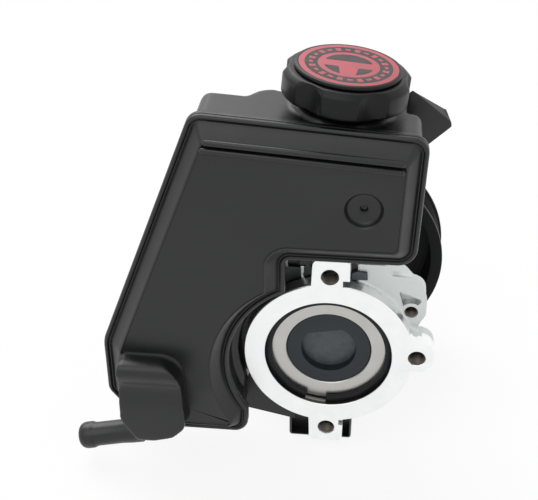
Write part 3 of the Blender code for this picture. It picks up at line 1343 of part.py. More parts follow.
def saddle():
    """Makes the saddle of the rear half: arc wall along the pump's barrel, legs and lower foot."""
    inner = SADDLE_INNER
    outer = inner + SADDLE_WALL
    start, end = math.radians(117), math.radians(284)
    outline = arc((0, 0), outer, start, end, 12) + arc((0, 0), inner, end, start, 12)
    wall = plate("saddle wall", [outline], SADDLE_FRONT, SADDLE_BACK)
    seat = BARREL_RADIUS + 2 * FIT
    foot_top = -math.sqrt(inner ** 2 - FOOT_LEFT ** 2)
    foot = box(
        "saddle foot", (FOOT_LEFT, SADDLE_FRONT - FIT, FOOT_BOTTOM), (FOOT_RIGHT, FOOT_BACK, foot_top),
        FOOT_CORNER,
    )
    cut(foot, rod("barrel clearance", (seat + inner) / 2, (0, -0.0500, 0), (0, 0.0800, 0), 32))
    leg = SADDLE_LEG_GAP + SADDLE_LEG_THICK
    supports = []
    for side in (-1, 1):
        supports.append(side_box(
            "saddle leg", side, (SADDLE_LEG_GAP, SADDLE_FRONT, FLANGE_RADIUS),
            (leg, LEG_BACK, NECK_BLOCK_BOTTOM + 0.0010),
        ))
        supports.append(side_box(
            "saddle ledge", side, (leg - 0.0010, rail_front(side) + FIT, RAIL_SPLIT),
            (leg + FIT + RAIL_LEDGE, LEG_BACK - FIT, RAIL_SPLIT + RAIL_LEDGE),
        ))
    rim = (inner + outer) / 2
    outline = arc((0, 0), rim, start, end, 12) + arc((0, 0), seat, end, start, 12)
    lip = plate("saddle lip", [outline], SADDLE_FRONT + 2 * FIT, SADDLE_FRONT + SADDLE_LIP_THICK)
    return [wall, lip, foot, saddle_web(rim), *supports]


def saddle_web(radius):
    """Makes the web that closes the corner between the reservoir's lip and the foot."""
    left_low, right_low = SADDLE_WEB_HEIGHTS
    right = FOOT_LEFT + FOOT_CORNER * 2
    start = math.atan2(-math.sqrt(radius ** 2 - right ** 2), right)
    outline = [(SADDLE_WEB_LEFT, left_low), (right, right_low)]
    outline += arc((0, 0), radius, start, SADDLE_WEB_TURN, 6)
    return plate("saddle web", [outline], SADDLE_FRONT + FIT, SADDLE_FRONT + SADDLE_WEB_THICK)


def side_box(name, side, low, high):
    """Makes a box of the saddle on the right (1), or its mirror image on the left (-1)."""
    near, far = sorted((side * low[0], side * high[0]))
    return box(name, (near, *low[1:]), (far, *high[1:]))


def splash_wing():
    """Makes the horn that shields the belt side, right of the filler neck."""
    return loft("splash wing", [
        [(x, depth, z) for x, z in face]
        for depth, face in ((WING_FRONT_Y, WING_FRONT), (WING_BACK_Y, WING_BACK))
    ])


def reservoir_rear_shell():
    """Moulds the rear half: weld flange, tank, filler neck, suction pipe, saddle and wing."""
    shell = plate(
        "rear shell", [reservoir_outline(even_insets(0), 0)], WELD_PLANE + FIT,
        WELD_PLANE + FIT + WELD_FLANGE_THICK,
    )
    tank_cutout = SADDLE_INNER + SADDLE_WALL * 0.5 - PUMP_CUTOUT_RADIUS
    tank = plate(
        "tank", [reservoir_outline(even_insets(TANK_INSET), tank_cutout)],
        WELD_PLANE + FIT + WELD_FLANGE_THICK * 0.5, TANK_BACK,
    )
    room_end = FLANGE_CLEAR_DEPTH - FLANGE_THICK
    cut(tank, rod("flange room", PUMP_CUTOUT_RADIUS, (0, PANEL_DEPTH, 0), (0, room_end, 0), 32))
    wall = TANK_INSET + RESERVOIR_WALL
    cavity = plate(
        "tank cavity", [reservoir_outline(even_insets(wall), RESERVOIR_WALL)], WELD_PLANE - 0.0010,
        TANK_BACK - RESERVOIR_WALL,
    )
    join(shell, tank, neck_block(0, WELD_PLANE + FIT + WELD_FLANGE_THICK * 0.5), splash_wing(), *saddle())
    collar_top = CAP_BOTTOM - COLLAR_HEIGHT - 0.0012
    collar = rod("neck collar", COLLAR_RADIUS, cap_point(NECK_ROOT), cap_point(collar_top), 24)
    neck = rod("filler neck", NECK_RADIUS, cap_point(NECK_ROOT), cap_point(NECK_TOP), 20)
    pipe = rod(
        "suction pipe", INLET_BORE - FIT, (0, INLET_Y, BORE_RADIUS + 0.0060),
        (0, INLET_Y, NECK_BLOCK_BOTTOM + 0.0010), SMALL_STEPS,
    )
    join(shell, collar, neck, pipe)
    cut(
        shell, cavity, neck_block(RESERVOIR_WALL, 0),
        rod("neck bore", NECK_BORE, cap_point(NECK_ROOT - 0.0030), cap_point(0.0010), 20),
        rod(
            "suction bore", INLET_BORE - FIT - 0.0016, (0, INLET_Y, BORE_RADIUS),
            (0, INLET_Y, NECK_BLOCK_BOTTOM + 0.0100), SMALL_STEPS,
        ),
    )
    return finish(shell, "reservoir_rear_shell", black_nylon())


def reservoir_clips():
    """Bends the two spring clips that hold the saddle's ledges on the casting's rails."""
    for name, side in (("reservoir_clip_left", -1), ("reservoir_clip_right", 1)):
        root = SADDLE_LEG_GAP + SADDLE_LEG_THICK
        face = root + FIT + RAIL_LEDGE + FIT
        top = RAIL_SPLIT + RAIL_LEDGE + FIT
        low = RAIL_SPLIT - RAIL_LIP_HEIGHT - FIT
        inner_start = root + 0.0009
        outline = [
            (inner_start, top), (face, top), (face, low), (root + FIT + RAIL_LEDGE * 0.5 + 0.0010, low),
            (root + FIT + RAIL_LEDGE * 0.5 + 0.0010, low - CLIP_THICK),
            (face + CLIP_THICK * 0.7, low - CLIP_THICK),
            (face + CLIP_THICK * 1.6, low + 0.0010), (face + CLIP_THICK, low + 0.0030),
            (face + CLIP_THICK, top - 0.0010), (face + CLIP_THICK * 1.6, top + CLIP_THICK),
            (face + CLIP_THICK * 0.7, top + CLIP_THICK * 1.6), (inner_start, top + CLIP_THICK),
        ]
        clip = plate(
            name, [[(side * across, up) for across, up in outline]], rail_front(side) + CLIP_INSET,
            LEG_BACK - CLIP_INSET,
        )
        finish(clip, name, dark_steel())


def filler_cap():
    """Moulds the cap: chamfered shell with finger scallops, top disc, gasket and dipstick."""
    ceiling_radius = NECK_RADIUS + 2 * FIT
    shell = turned("cap shell", [
        (0, SHELL_TOP), (CAP_TOP_RADIUS, SHELL_TOP), (CAP_RADIUS, SHELL_TOP - CAP_CHAMFER_HEIGHT),
        (CAP_RADIUS, CAP_BOTTOM + 0.0008), (CAP_RADIUS - 0.0008, CAP_BOTTOM), (ceiling_radius, CAP_BOTTOM),
        (ceiling_radius, CEILING), (0, CEILING),
    ], CAP_CENTRE, CAP_AXIS, 36)
    for index in range(SCALLOP_COUNT):
        angle = SCALLOP_TURN + math.tau * index / SCALLOP_COUNT - math.pi / 2
        reach = CAP_RADIUS - SCALLOP_DEPTH + SCALLOP_RADIUS
        across, deep = reach * math.cos(angle), reach * math.sin(angle)
        cut(shell, rod(
            "cap scallop", SCALLOP_RADIUS, cap_point(CAP_BOTTOM - 0.0020, across, deep),
            cap_point(SHELL_TOP + 0.0020, across, deep), 14,
        ))
    finish(shell, "filler_cap", black_nylon())
    disc = turned("cap disc", [
        (0, -CAP_DISC_THICK), (CAP_DISC_RADIUS - 0.0004, -CAP_DISC_THICK),
        (CAP_DISC_RADIUS, -CAP_DISC_THICK + 0.0004), (CAP_DISC_RADIUS, -0.0005),
        (CAP_DISC_RADIUS - 0.0005, 0), (0, 0),
    ], CAP_CENTRE, CAP_AXIS, 36)
    finish(disc, "cap_disc", red_print())
    gasket = turned("cap gasket", [
        (NECK_BORE + 0.0002, GASKET_TOP - GASKET_THICK), (NECK_RADIUS, GASKET_TOP - GASKET_THICK),
        (NECK_RADIUS, GASKET_TOP), (NECK_BORE + 0.0002, GASKET_TOP),
    ], CAP_CENTRE, CAP_AXIS, 20)
    finish(gasket, "cap_gasket", nitrile_rubber())
    top = CEILING - FIT
    dipstick = turned("dipstick", [
        (0, top), (DIPSTICK_HEAD_RADIUS, top), (DIPSTICK_HEAD_RADIUS, top - DIPSTICK_HEAD_THICK),
        (DIPSTICK_RADIUS * 1.3, top - DIPSTICK_HEAD_THICK * 1.6),
        (DIPSTICK_RADIUS, top - DIPSTICK_HEAD_THICK - DIPSTICK_TAPER),
        (DIPSTICK_RADIUS, top - DIPSTICK_LENGTH + DIPSTICK_RADIUS),
        (DIPSTICK_RADIUS * 0.5, top - DIPSTICK_LENGTH), (0, top - DIPSTICK_LENGTH),
    ], CAP_CENTRE, CAP_AXIS, 12)
    finish(dipstick, "dipstick", black_nylon())


def build():
    """Makes every part of the pump."""
    pump_housing()
    end_cover()
    end_cover_retaining_ring()
    stack_seals()
    pressure_plate()
    pressure_plate_spring()
    cam_ring()
    rotor()
    vanes()
    dowel_pins()
    thrust_plate()
    rotor_retaining_ring()
    drive_shaft()
    shaft_bush()
    shaft_seal()
    bearing_rings()
    bearing_cage_and_balls()
    bearing_snap_ring()
    pulley()
    flow_control_valve()
    suction_seal()
    reservoir_front_shell()
    reservoir_rear_shell()
    reservoir_clips()
    filler_cap()


build()
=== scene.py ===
"""Dresses the power steering pump and its moulded reservoir for a studio picture.

Lengths are metres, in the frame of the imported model: the shaft lies along Y, the reservoir's flat
panel faces -Y and +Z is up.
"""
import math

import bmesh
import bpy
from bpy.props import FloatProperty, FloatVectorProperty, IntProperty, PointerProperty
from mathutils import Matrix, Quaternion, Vector


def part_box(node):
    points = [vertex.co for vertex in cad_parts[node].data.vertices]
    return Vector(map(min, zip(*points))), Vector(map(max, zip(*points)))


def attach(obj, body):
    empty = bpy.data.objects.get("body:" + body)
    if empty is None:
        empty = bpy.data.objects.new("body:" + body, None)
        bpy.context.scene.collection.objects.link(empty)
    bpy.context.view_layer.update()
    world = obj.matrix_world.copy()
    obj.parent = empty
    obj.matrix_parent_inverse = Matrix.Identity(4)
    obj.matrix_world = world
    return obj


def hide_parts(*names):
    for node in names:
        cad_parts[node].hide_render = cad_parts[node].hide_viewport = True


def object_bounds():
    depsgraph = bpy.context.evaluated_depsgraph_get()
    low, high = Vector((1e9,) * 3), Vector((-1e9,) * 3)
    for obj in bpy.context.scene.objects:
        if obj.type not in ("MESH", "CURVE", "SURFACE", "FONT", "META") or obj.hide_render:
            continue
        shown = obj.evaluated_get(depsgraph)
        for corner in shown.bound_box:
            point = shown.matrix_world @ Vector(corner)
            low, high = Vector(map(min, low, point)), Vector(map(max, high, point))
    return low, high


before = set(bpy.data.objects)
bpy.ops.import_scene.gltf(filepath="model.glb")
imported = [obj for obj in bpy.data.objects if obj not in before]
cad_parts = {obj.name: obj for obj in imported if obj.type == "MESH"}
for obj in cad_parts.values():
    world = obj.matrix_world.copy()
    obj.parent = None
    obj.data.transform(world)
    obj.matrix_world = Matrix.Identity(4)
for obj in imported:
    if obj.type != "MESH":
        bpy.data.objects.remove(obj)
CAD_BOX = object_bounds()

bl_info = {
    "name": "Power Steering Pump",
    "version": (1, 0, 0),
    "blender": (4, 5, 0),
    "location": "View3D > Sidebar > Pump",
    "description": "Finishes a power steering pump with a moulded reservoir",
    "category": "Add Mesh",
}

Y_AXIS = Vector((0, 1, 0))
Z_AXIS = Vector((0, 0, 1))
MM = 0.001
FIT = 0.3 * MM

# The machined flange, its bore and what is bolted through it
BORE_RADIUS = 33 * MM
BORE_BACK = 56 * MM
FLANGE_RADIUS = 43.8 * MM
FLANGE_THICK = 9 * MM
BARREL_RADIUS = 41.2 * MM
EAR_HOLE_RADIUS = 4.3 * MM
EAR_HOLE_HEIGHT = 48.4 * MM
EAR_HALF_WIDTH = 10 * MM
EAR_TOP = 58.2 * MM
EAR_BOTTOM = -57.7 * MM
EAR_NICK = 3.5 * MM
SIDE_HOLE = Vector((45.6 * MM, 0, 1.4 * MM))
SIDE_EAR_RADIUS = 8.6 * MM
SIDE_EAR_DEPTH = 14.5 * MM
REAR_BOSS = Vector((41.32 * MM, 0, 24.43 * MM))
REAR_BOSS_RADIUS = 7.8 * MM
REAR_BOSS_HOLE = 3.3 * MM
BOSS_FRONT = 8.2 * MM
BOSS_BACK = 33 * MM
BARREL_END = 60.4 * MM
NOSE_RADIUS = 25.5 * MM
NOSE_END = 89.3 * MM
VALVE_CENTRE = Vector((26 * MM, 64 * MM, 0))
VALVE_RADIUS = 11.8 * MM
VALVE_ENDS = (-46 * MM, 11 * MM)
VALVE_BORE = 8.3 * MM
INLET_Y = 29 * MM
INLET_TOP = 56 * MM
NOSE_BORES = (10.9 * MM, 15.3 * MM, 20.3 * MM, 22.1 * MM)
NOSE_SEATS = (67 * MM, 75 * MM, 86.4 * MM, 88.2 * MM)
CASTING_BLEND = (3, 0.5)
INLET_BOSS_RADIUS = 10 * MM
INLET_BORE = 6.5 * MM
INLET_SEAT = 8.6 * MM
BORE_GROOVE_DEPTH = 1.3 * MM
THREAD_PITCH = 1.25 * MM
THREAD_HEIGHT = 0.65 * MM
THREAD_FRONT = 0.8 * MM
RIB_DEGREES = (35, 145, 215, 270, 325)
RIB_HALF_WIDTH = 2 * MM

# The end cover and the ring that holds it
COVER_FACE = 5.4 * MM
COVER_THICK = 12.6 * MM
COVER_DARK_RADIUS = 21.9 * MM
SOCKET_RADIUS = 14.3 * MM
SOCKET_FLAT = 11.2 * MM
SOCKET_FLAT_TURN = math.radians(101)
SOCKET_DEPTH = 5 * MM
RING_INNER_RADIUS = 29.5 * MM
RING_OUTER_RADIUS = 34 * MM
RING_THICK = 2.1 * MM
RING_GAP = 11.5 * MM
RING_GAP_TURN = math.radians(-101)

# The pulley
PULLEY_RADIUS = 60.8 * MM
PULLEY_ENDS = (94.7 * MM, 120.5 * MM)
PULLEY_RIM_WALL = 7 * MM
PULLEY_WEB_BACK = 116.5 * MM
PULLEY_WEB_THICK = 3.2 * MM
PULLEY_HUB_RADIUS = 13.5 * MM
PULLEY_HUB_ENDS = (92.5 * MM, 119 * MM)
PULLEY_BORE = 8.5 * MM
PULLEY_GROOVES = 6
PULLEY_GROOVE_PITCH = 3.56 * MM
PULLEY_GROOVE_DEPTH = 2.8 * MM
WEB_STEP_RADIUS = 33 * MM
WEB_STEP_DEPTH = 3.5 * MM

# The reservoir's outline in the plane of its weld, each straight side from (x, z) to (x, z), in mm
RESERVOIR_SIDES = {
    "top": ((-60.0, 139.5), (37.6, 132.1)),
    "right": ((43.4, 123.0), (41.6, 76.0)),
    "notch": ((33.6, 64.7), (-19.0, 64.8)),
    "notch_side": ((-21.4, 62.0), (-21.4, 46.0)),
    "lip": ((-40.9, -29.5), (-40.9, -38.0)),
    "bottom": ((-49.0, -44.8), (-90.0, -44.8)),
    "corner_cut": ((-97.5, -44.8), (-112.2, -25.0)),
    "left": ((-114.8, -19.0), (-114.8, 5.0)),
    "slope": ((-110.4, 21.9), (-70.2, 125.5)),
}
RESERVOIR_CORNERS = {
    ("slope", "top"): 8.0,
    ("top", "right"): 8.0,
    ("right", "notch"): 9.5,
    ("notch", "notch_side"): 2.6,
    ("lip", "bottom"): 7.5,
    ("bottom", "corner_cut"): 4.0,
    ("corner_cut", "left"): 8.0,
    ("left", "slope"): 20.0,
}
CONCAVE_CORNER = ("notch", "notch_side")
CUTOUT_RADIUS = 50.4
PANEL_INSETS = {
    "top": 9.7, "right": 9.5, "notch": 11.4, "notch_side": 9.2, "lip": 8.0, "bottom": 9.8,
    "corner_cut": 8.0, "left": 10.5, "slope": 10.0,
}
PANEL_CUTOUT_INSET = 8.4
WELD_PLANE = -9.7 * MM
PANEL_DEPTH = -20 * MM
TANK_BACK = 22 * MM
CORNER_STEPS = 12
CUTOUT_STEPS = 72

# Details of the front shell, with the ridges' insets and the outlet's outline in mm
RIDGE_INSETS = (9.2, 13.3)
BORDER_INSET = 2.4
POCKET = Vector((15.5 * MM, 0, 97.9 * MM))
POCKET_RIM = 8.8 * MM
POCKET_FLOOR = 7.3 * MM
POCKET_DEPTH = 4.0 * MM
OUTLET_TOP = 8.8
OUTLET_RIGHT = -70.8
OUTLET_LEFT = -105.0
OUTLET_BOTTOM = -43.2
OUTLET_FACE_BOTTOM = -39.2
OUTLET_FRONT = -30.8
OUTLET_BLEND = (16, 0.6)
PIPE_START = Vector((-100, -17, -44)) * MM
PIPE_DROP = math.radians(13)
PIPE_DIRECTION = Vector((-math.cos(PIPE_DROP), 0, -math.sin(PIPE_DROP)))
PIPE_LENGTH = 31.5 * MM
PIPE_RADIUS = 6.4 * MM
PIPE_BARB = 7.2 * MM
PIPE_BORE = 4.3 * MM

# The rear shell's block round the filler neck, its horn and the clip's toe, in mm, and its saddle
BLOCK_LEFT = -36.0
BLOCK_RIGHT = 33.0
BLOCK_FLARE = 4.6
BLOCK_BOTTOM = 66.0
BLOCK_BACK = 31.0
BLOCK_DEEP_BACK = 46.0
BLOCK_STEP = -23.0
BLOCK_RAMP = 7.0
BLOCK_FRONT = -8.6
TANK_INSET = 3.0
TANK_BLEND = (7, 0.55)
SADDLE_INNER = 44.8 * MM
SADDLE_WALL = 3.0 * MM
SADDLE_ENDS = (9.7 * MM, 40 * MM)
SADDLE_TURN = (math.radians(117), math.radians(284))
LEG_GAP = 10.3 * MM
LEG_THICK = 2.7 * MM
LEG_BACK = 32 * MM
RAIL_SPLIT = 48.8 * MM
RAIL_LEDGE = 2.6 * MM
RIGHT_RAIL_FRONT = 15.2 * MM
CLIP_TOE = ((10.4, 42.8, 0.3), (18.6, 42.8, 0.3), (18.2, 47.4, 0.8), (13.2, 47.8, 0.6), (10.4, 46.4, 0.3))
CLIP_TOE_ENDS = (7.4 * MM, 9.6 * MM)
FOOT = ((-20.8 * MM, 9.4 * MM, -64 * MM), (13.4 * MM, 22 * MM, -39.7 * MM))
FOOT_CHANNEL = ((-19.4 * MM, 0, -62.5 * MM), (12.4 * MM, 16 * MM, -30 * MM))
SHROUD = ((-22 * MM, 12 * MM, 46 * MM), (-11.3 * MM, 14 * MM, 67 * MM))
SKIRT = ((-23 * MM, 9.8 * MM, 38 * MM), (-9.3 * MM, 13 * MM, 47.2 * MM))
SUCTION_PIPE_RADIUS = 6.2 * MM
SUCTION_PIPE_BORE = 4.6 * MM
WING_FRONT = ((30, 127), (35.6, 132.5), (55.5, 115.6), (56, 113.4), (44.2, 102.2), (30, 92))
WING_BACK = ((30, 118), (35.6, 120.6), (52.6, 120.6), (53, 118.4), (44.2, 102.2), (30, 92))
WING_ENDS = (41.0, 47.0)

# The filler neck and its cap, on an axis that leans to the right
CAP_CENTRE = Vector((5.2, 18.5, 153.4)) * MM
CAP_LEAN = math.radians(5.5)
CAP_AXIS = Vector((math.sin(CAP_LEAN), 0, math.cos(CAP_LEAN)))
CAP_RADIUS = 30.2 * MM
CAP_TOP_RADIUS = 27.6 * MM
CAP_CHAMFER = 2.6 * MM
CAP_SHELL_TOP = -2.3 * MM
CAP_BOTTOM = -14.7 * MM
CAP_CEILING = -5.9 * MM
SCALLOP_COUNT = 6
SCALLOP_RADIUS = 11 * MM
SCALLOP_DEPTH = 3.4 * MM
SCALLOP_TURN = math.radians(-33)
DISC_RADIUS = 25 * MM
DISC_THICK = 2 * MM
PRINT_FACE = -0.1 * MM
RING_SHARES = (0.62, 0.88)
WHEEL_SHARE = 0.50
WINDOW_DEGREES = ((20, 160), (196, 252), (288, 344))
TICK_HALF_LENGTHS = (0.8 * MM, 1.5 * MM)
NECK_RADIUS = 20.6 * MM
NECK_BORE = 17.2 * MM
NECK_TOP = -8.1 * MM
NECK_ROOT = -31 * MM
COLLAR_RADIUS = 23.6 * MM
COLLAR_TOP = CAP_BOTTOM - 4.2 * MM

# Surfaces: where the patches of a finish start and end, and the angle of an edge that stays sharp
PATCH_EDGES = (0.3, 0.7)
SHARP_ANGLE = math.radians(38)

# The stage: where its two soft boxes stand and how wide they are, the floor's place and its white
KEY_PLACE = (-0.35, 0.60, 0.80)
FILL_PLACE = (-0.30, -0.60, 0.90)
SOFT_BOX_DEGREES = 50
FLOOR_GAP = 0.5 * MM
FLOOR_WHITE_SHARE = 0.87

# The camera, at the photograph's viewing angle
CAMERA_PLACE = Vector((21.13, -454.02, 348.39)) * MM
CAMERA_TARGET = Vector((-30.2, 0, 62.66)) * MM
CAMERA_ROLL = math.radians(-0.474)
CAMERA_LENS = 73.6
CAMERA_SENSOR = 36


def from_hex(code):
    """Turns an sRGB hex colour into linear RGB."""
    channels = [int(code[index:index + 2], 16) / 255 for index in (0, 2, 4)]
    return tuple(
        value / 12.92 if value <= 0.04045 else ((value + 0.055) / 1.055) ** 2.4 for value in channels
    )


def colour(name, description, code):
    """Describes one colour that a user can change."""
    return FloatVectorProperty(
        name=name, description=description, subtype="COLOR", size=3, min=0, max=1, default=from_hex(code)
    )


def length(name, description, size):
    """Describes one length that a user can change."""
    return FloatProperty(
        name=name, description=description, subtype="DISTANCE", unit="LENGTH", min=0, default=size
    )


class PumpColours(bpy.types.PropertyGroup):
    """Colours of the pump's finishes."""
    nylon: colour("Nylon", "Glass-filled nylon of the reservoir and cap", "111212")
    aluminium: colour("Cast aluminium", "Skin of the pump casting", "D6DAD9")
    machined: colour("Machined aluminium", "Turned and milled faces of the flange", "FAFBFB")
    ground: colour("Ground steel", "Rim of the end cover and the inner parts", "C2C1BD")
    black_oxide: colour("Black oxide", "Centre of the end cover", "2B3034")
    spring: colour("Spring steel", "Clips and retaining rings", "26272A")
    cap: colour("Cap nylon", "Glass-filled nylon of the filler cap", "0D0E0E")
    # The lighter oxide is painted light: the lit floor of the socket and a sheen on the clip's toe
    worn: colour("Black oxide, painted light", "Floor of the end cover's socket", "565C60")
    # The pulley's black is darkened further as painted shade of the reservoir's shadow
    paint: colour("Paint", "Black paint of the pulley", "0C0D0E")
    rubber: colour("Rubber", "Seals and gasket", "161616")
    # The dark bore colour is painted shade in the deep holes and on the bore's wall
    oiled: colour("Bore shade", "Tapped holes and the bore's wall, darkened as painted shade", "56504B")
    bronze: colour("Bronze", "Bush and bearing cage", "A07A3F")
    print_red: colour("Red print", "Red field of the cap's disc", "C45862")
    print_black: colour("Black print", "Rings and pictogram of the cap's disc", "2B2627")


class ReservoirSizes(bpy.types.PropertyGroup):
    """Fine sizes of the moulded reservoir."""
    bead: length("Bead", "Width of the weld bead round the front shell", 2.3 * MM)
    groove: length("Groove", "Depth of the groove inside the bead", 1.1 * MM)
    recess: length("Panel recess", "How far the flat panel lies behind its crest", 0.6 * MM)
    ridge: length("Ridge", "Radius of the two ridges along the top", 1.6 * MM)
    outlet_voxel: length("Outlet remesh size", "Size of the faces that blend the outlet", 0.7 * MM)
    edge_round: length("Tank rounding", "Rounding of the tank's back edge", 2.6 * MM)
    voxel: length("Remesh size", "Size of the faces that blend the rear shell", 1.1 * MM)


class CapSizes(bpy.types.PropertyGroup):
    """Fine sizes of the filler cap."""
    blend: length("Blend", "Rounding where the finger scallops meet the cap", 0.9 * MM)
    rim: length("Rim", "Width of the black rim round the red field", 1.7 * MM)
    ink: length("Ink", "How far the print stands on the disc", 0.06 * MM)
    ticks: IntProperty(name="Ticks", description="Marks round the printed ring", min=3, default=24)
    steps: IntProperty(name="Steps", description="Faces round the cap", min=48, default=288)


class PumpSizes(bpy.types.PropertyGroup):
    """Fine sizes of the casting, the end cover and the pulley."""
    edge: length("Machined edge", "Chamfer of the flange's edges", 0.5 * MM)
    voxel: length("Remesh size", "Size of the faces that blend the casting", 0.9 * MM)
    clip: length("Clip", "Thickness of the reservoir's clips", 1.0 * MM)
    steps: IntProperty(name="Steps", description="Faces round a turned part", min=32, default=160)


class StageSizes(bpy.types.PropertyGroup):
    """Sizes and strengths of the floor and lights."""
    floor: length("Floor", "Width of the floor", 6.0)
    key: FloatProperty(name="Key", description="Strength of the key light", min=0, default=1.7)
    fill: FloatProperty(name="Fill", description="Strength of the fill light", min=0, default=0.5)
    sky: FloatProperty(name="Sky", description="Strength of the even light", min=0, default=0.5)


# Meshes


def new_object(name, bm):
    """Makes an object in the scene from a bmesh."""
    mesh = bpy.data.meshes.new(name)
    bmesh.ops.recalc_face_normals(bm, faces=bm.faces)
    bm.to_mesh(mesh)
    bm.free()
    obj = bpy.data.objects.new(name, mesh)
    bpy.context.scene.collection.objects.link(obj)
    return obj


def settle(obj):
    """Applies an object's modifiers to its mesh."""
    bpy.context.view_layer.update()
    evaluated = obj.evaluated_get(bpy.context.evaluated_depsgraph_get())
    mesh = bpy.data.meshes.new_from_object(evaluated)
    obj.modifiers.clear()
    obj.data = mesh
    return obj


def combine(obj, others, operation):
    """Applies one Boolean for each other object and removes them."""
    for other in others:
        boolean = obj.modifiers.new(operation.title(), "BOOLEAN")
        boolean.operation = operation
        boolean.solver = "MANIFOLD"
        boolean.object = other
    settle(obj)
    if not obj.data.polygons:
        raise RuntimeError(f"{obj.name} is empty after its {operation.lower()}")
    for other in others:
        bpy.data.objects.remove(other, do_unlink=True)
    return obj


def round_edges(obj, width, segments=3, angle=35):
    """Rounds the edges that are sharper than an angle in degrees."""
    bevel = obj.modifiers.new("Round", "BEVEL")
    bevel.width = width
    bevel.segments = segments
    bevel.limit_method = "ANGLE"
    bevel.angle_limit = math.radians(angle)
    return settle(obj)


def blend_skin(obj, voxel, passes, keep):
    """Remeshes a solid evenly, melts its corners in smoothing passes and keeps a share of the faces."""
    remesh = obj.modifiers.new("Remesh", "REMESH")
    remesh.mode = "VOXEL"
    remesh.voxel_size = voxel
    smooth = obj.modifiers.new("Melt", "SMOOTH")
    smooth.factor = 0.5
    smooth.iterations = passes
    thin = obj.modifiers.new("Thin", "DECIMATE")
    thin.ratio = keep
    return settle(obj)


def loft(name, sections):
    """Makes a solid through sections that all have the same number of points."""
    bm = bmesh.new()
    rings = [[bm.verts.new(point) for point in section] for section in sections]
    for near, far in zip(rings, rings[1:]):
        for index in range(len(near)):
            after = (index + 1) % len(near)
            bm.faces.new((near[index], near[after], far[after], far[index]))
    bm.faces.new(rings[0])
    bm.faces.new(rings[-1])
    return new_object(name, bm)


def extruded(name, outline, low, high, axis="Y"):
    """Extrudes an outline of (x, z) points along Y, (y, z) along X or (x, y) along Z."""
    places = {
        "X": lambda across, up, depth: (depth, across, up),
        "Y": lambda across, up, depth: (across, depth, up),
        "Z": lambda across, up, depth: (across, up, depth),
    }
    place = places[axis]
    return loft(name, [[place(*point, depth) for point in outline] for depth in (low, high)])


def turned(name, profile, origin=(0, 0, 0), axis=Y_AXIS, steps=96):
    """Turns (radius, height) points about an axis; a profile off the axis closes to a ring."""
    turn = Z_AXIS.rotation_difference(Vector(axis))
    origin = Vector(origin)
    ring = profile[0][0] > 0 or profile[-1][0] > 0
    bm = bmesh.new()
    rows = []
    for radius, height in profile:
        if radius <= 0:
            rows.append([bm.verts.new(origin + turn @ Vector((0, 0, height)))])
            continue
        angles = [math.tau * step / steps for step in range(steps)]
        points = [Vector((radius * math.cos(angle), radius * math.sin(angle), height)) for angle in angles]
        rows.append([bm.verts.new(origin + turn @ point) for point in points])
    pairs = list(zip(rows, rows[1:])) + ([(rows[-1], rows[0])] if ring else [])
    for near, far in pairs:
        for index in range(steps):
            after = (index + 1) % steps
            corners = [near[index % len(near)], near[after % len(near)]]
            corners += [far[after % len(far)], far[index % len(far)]]
            unique = list(dict.fromkeys(corners))
            if len(unique) > 2:
                bm.faces.new(unique)
    return new_object(name, bm)


def rod(name, radius, start, end, steps=48):
    """Makes a cylinder between two points."""
    start, end = Vector(start), Vector(end)
    span = end - start
    return turned(name, [(0, 0), (radius, 0), (radius, span.length), (0, span.length)], start, span, steps)


def block(name, low, high):
    """Makes a box between two corners."""
    outline = [(low[0], low[2]), (high[0], low[2]), (high[0], high[2]), (low[0], high[2])]
    return extruded(name, outline, low[1], high[1])


def side_block(name, side, low, high):
    """Makes a box on the right (1), or its mirror image on the left (-1)."""
    near, far = sorted((side * low[0], side * high[0]))
    return block(name, (near, *low[1:]), (far, *high[1:]))


def arc(centre, radius, start, end, steps):
    """Lists points along an arc, its angles in radians from +X."""
    return [
        (
            centre[0] + radius * math.cos(start + (end - start) * step / steps),
            centre[1] + radius * math.sin(start + (end - start) * step / steps),
        )
        for step in range(steps + 1)
    ]


def corner_arc(before, corner, after, radius, steps):
    """Rounds the corner between two straight runs."""
    before, corner, after = Vector(before), Vector(corner), Vector(after)
    to_before = (before - corner).normalized()
    to_after = (after - corner).normalized()
    half = math.acos(max(-1, min(1, to_before.dot(to_after)))) / 2
    centre = corner + (to_before + to_after).normalized() * radius / math.sin(half)
    start = corner + to_before * radius / math.tan(half) - centre
    end = corner + to_after * radius / math.tan(half) - centre
    turn = start.angle_signed(end)
    return [
        tuple(centre + Vector((
            start.x * math.cos(-turn * step / steps) - start.y * math.sin(-turn * step / steps),
            start.x * math.sin(-turn * step / steps) + start.y * math.cos(-turn * step / steps),
        )))
        for step in range(steps + 1)
    ]


def rounded(corners, steps=8, scale=1.0):
    """Lists the outline of a polygon of (x, z, radius) corners, sharp where the radius is 0."""
    outline = []
    for index, (across, up, radius) in enumerate(corners):
        before = corners[index - 1][:2]
        after = corners[(index + 1) % len(corners)][:2]
        if radius:
            outline += corner_arc(before, (across, up), after, radius, steps)
        else:
            outline.append((across, up))
    return [(across * scale, up * scale) for across, up in outline]


def smooth_path(points, steps):
    """Draws a smooth path through points, with a number of steps between each two."""
    points = [Vector(point) for point in points]
    padded = [points[0] * 2 - points[1], *points, points[-1] * 2 - points[-2]]
    path = []
    for before, start, end, after in zip(padded, padded[1:], padded[2:], padded[3:]):
        for step in range(steps):
            t = step / steps
            path.append(tuple(
                start + (end - before) * t / 2 + (before * 2 - start * 5 + end * 4 - after) * t * t / 2
                + (start * 3 - before - end * 3 + after) * t * t * t / 2
            ))
    return path + [tuple(points[-1])]


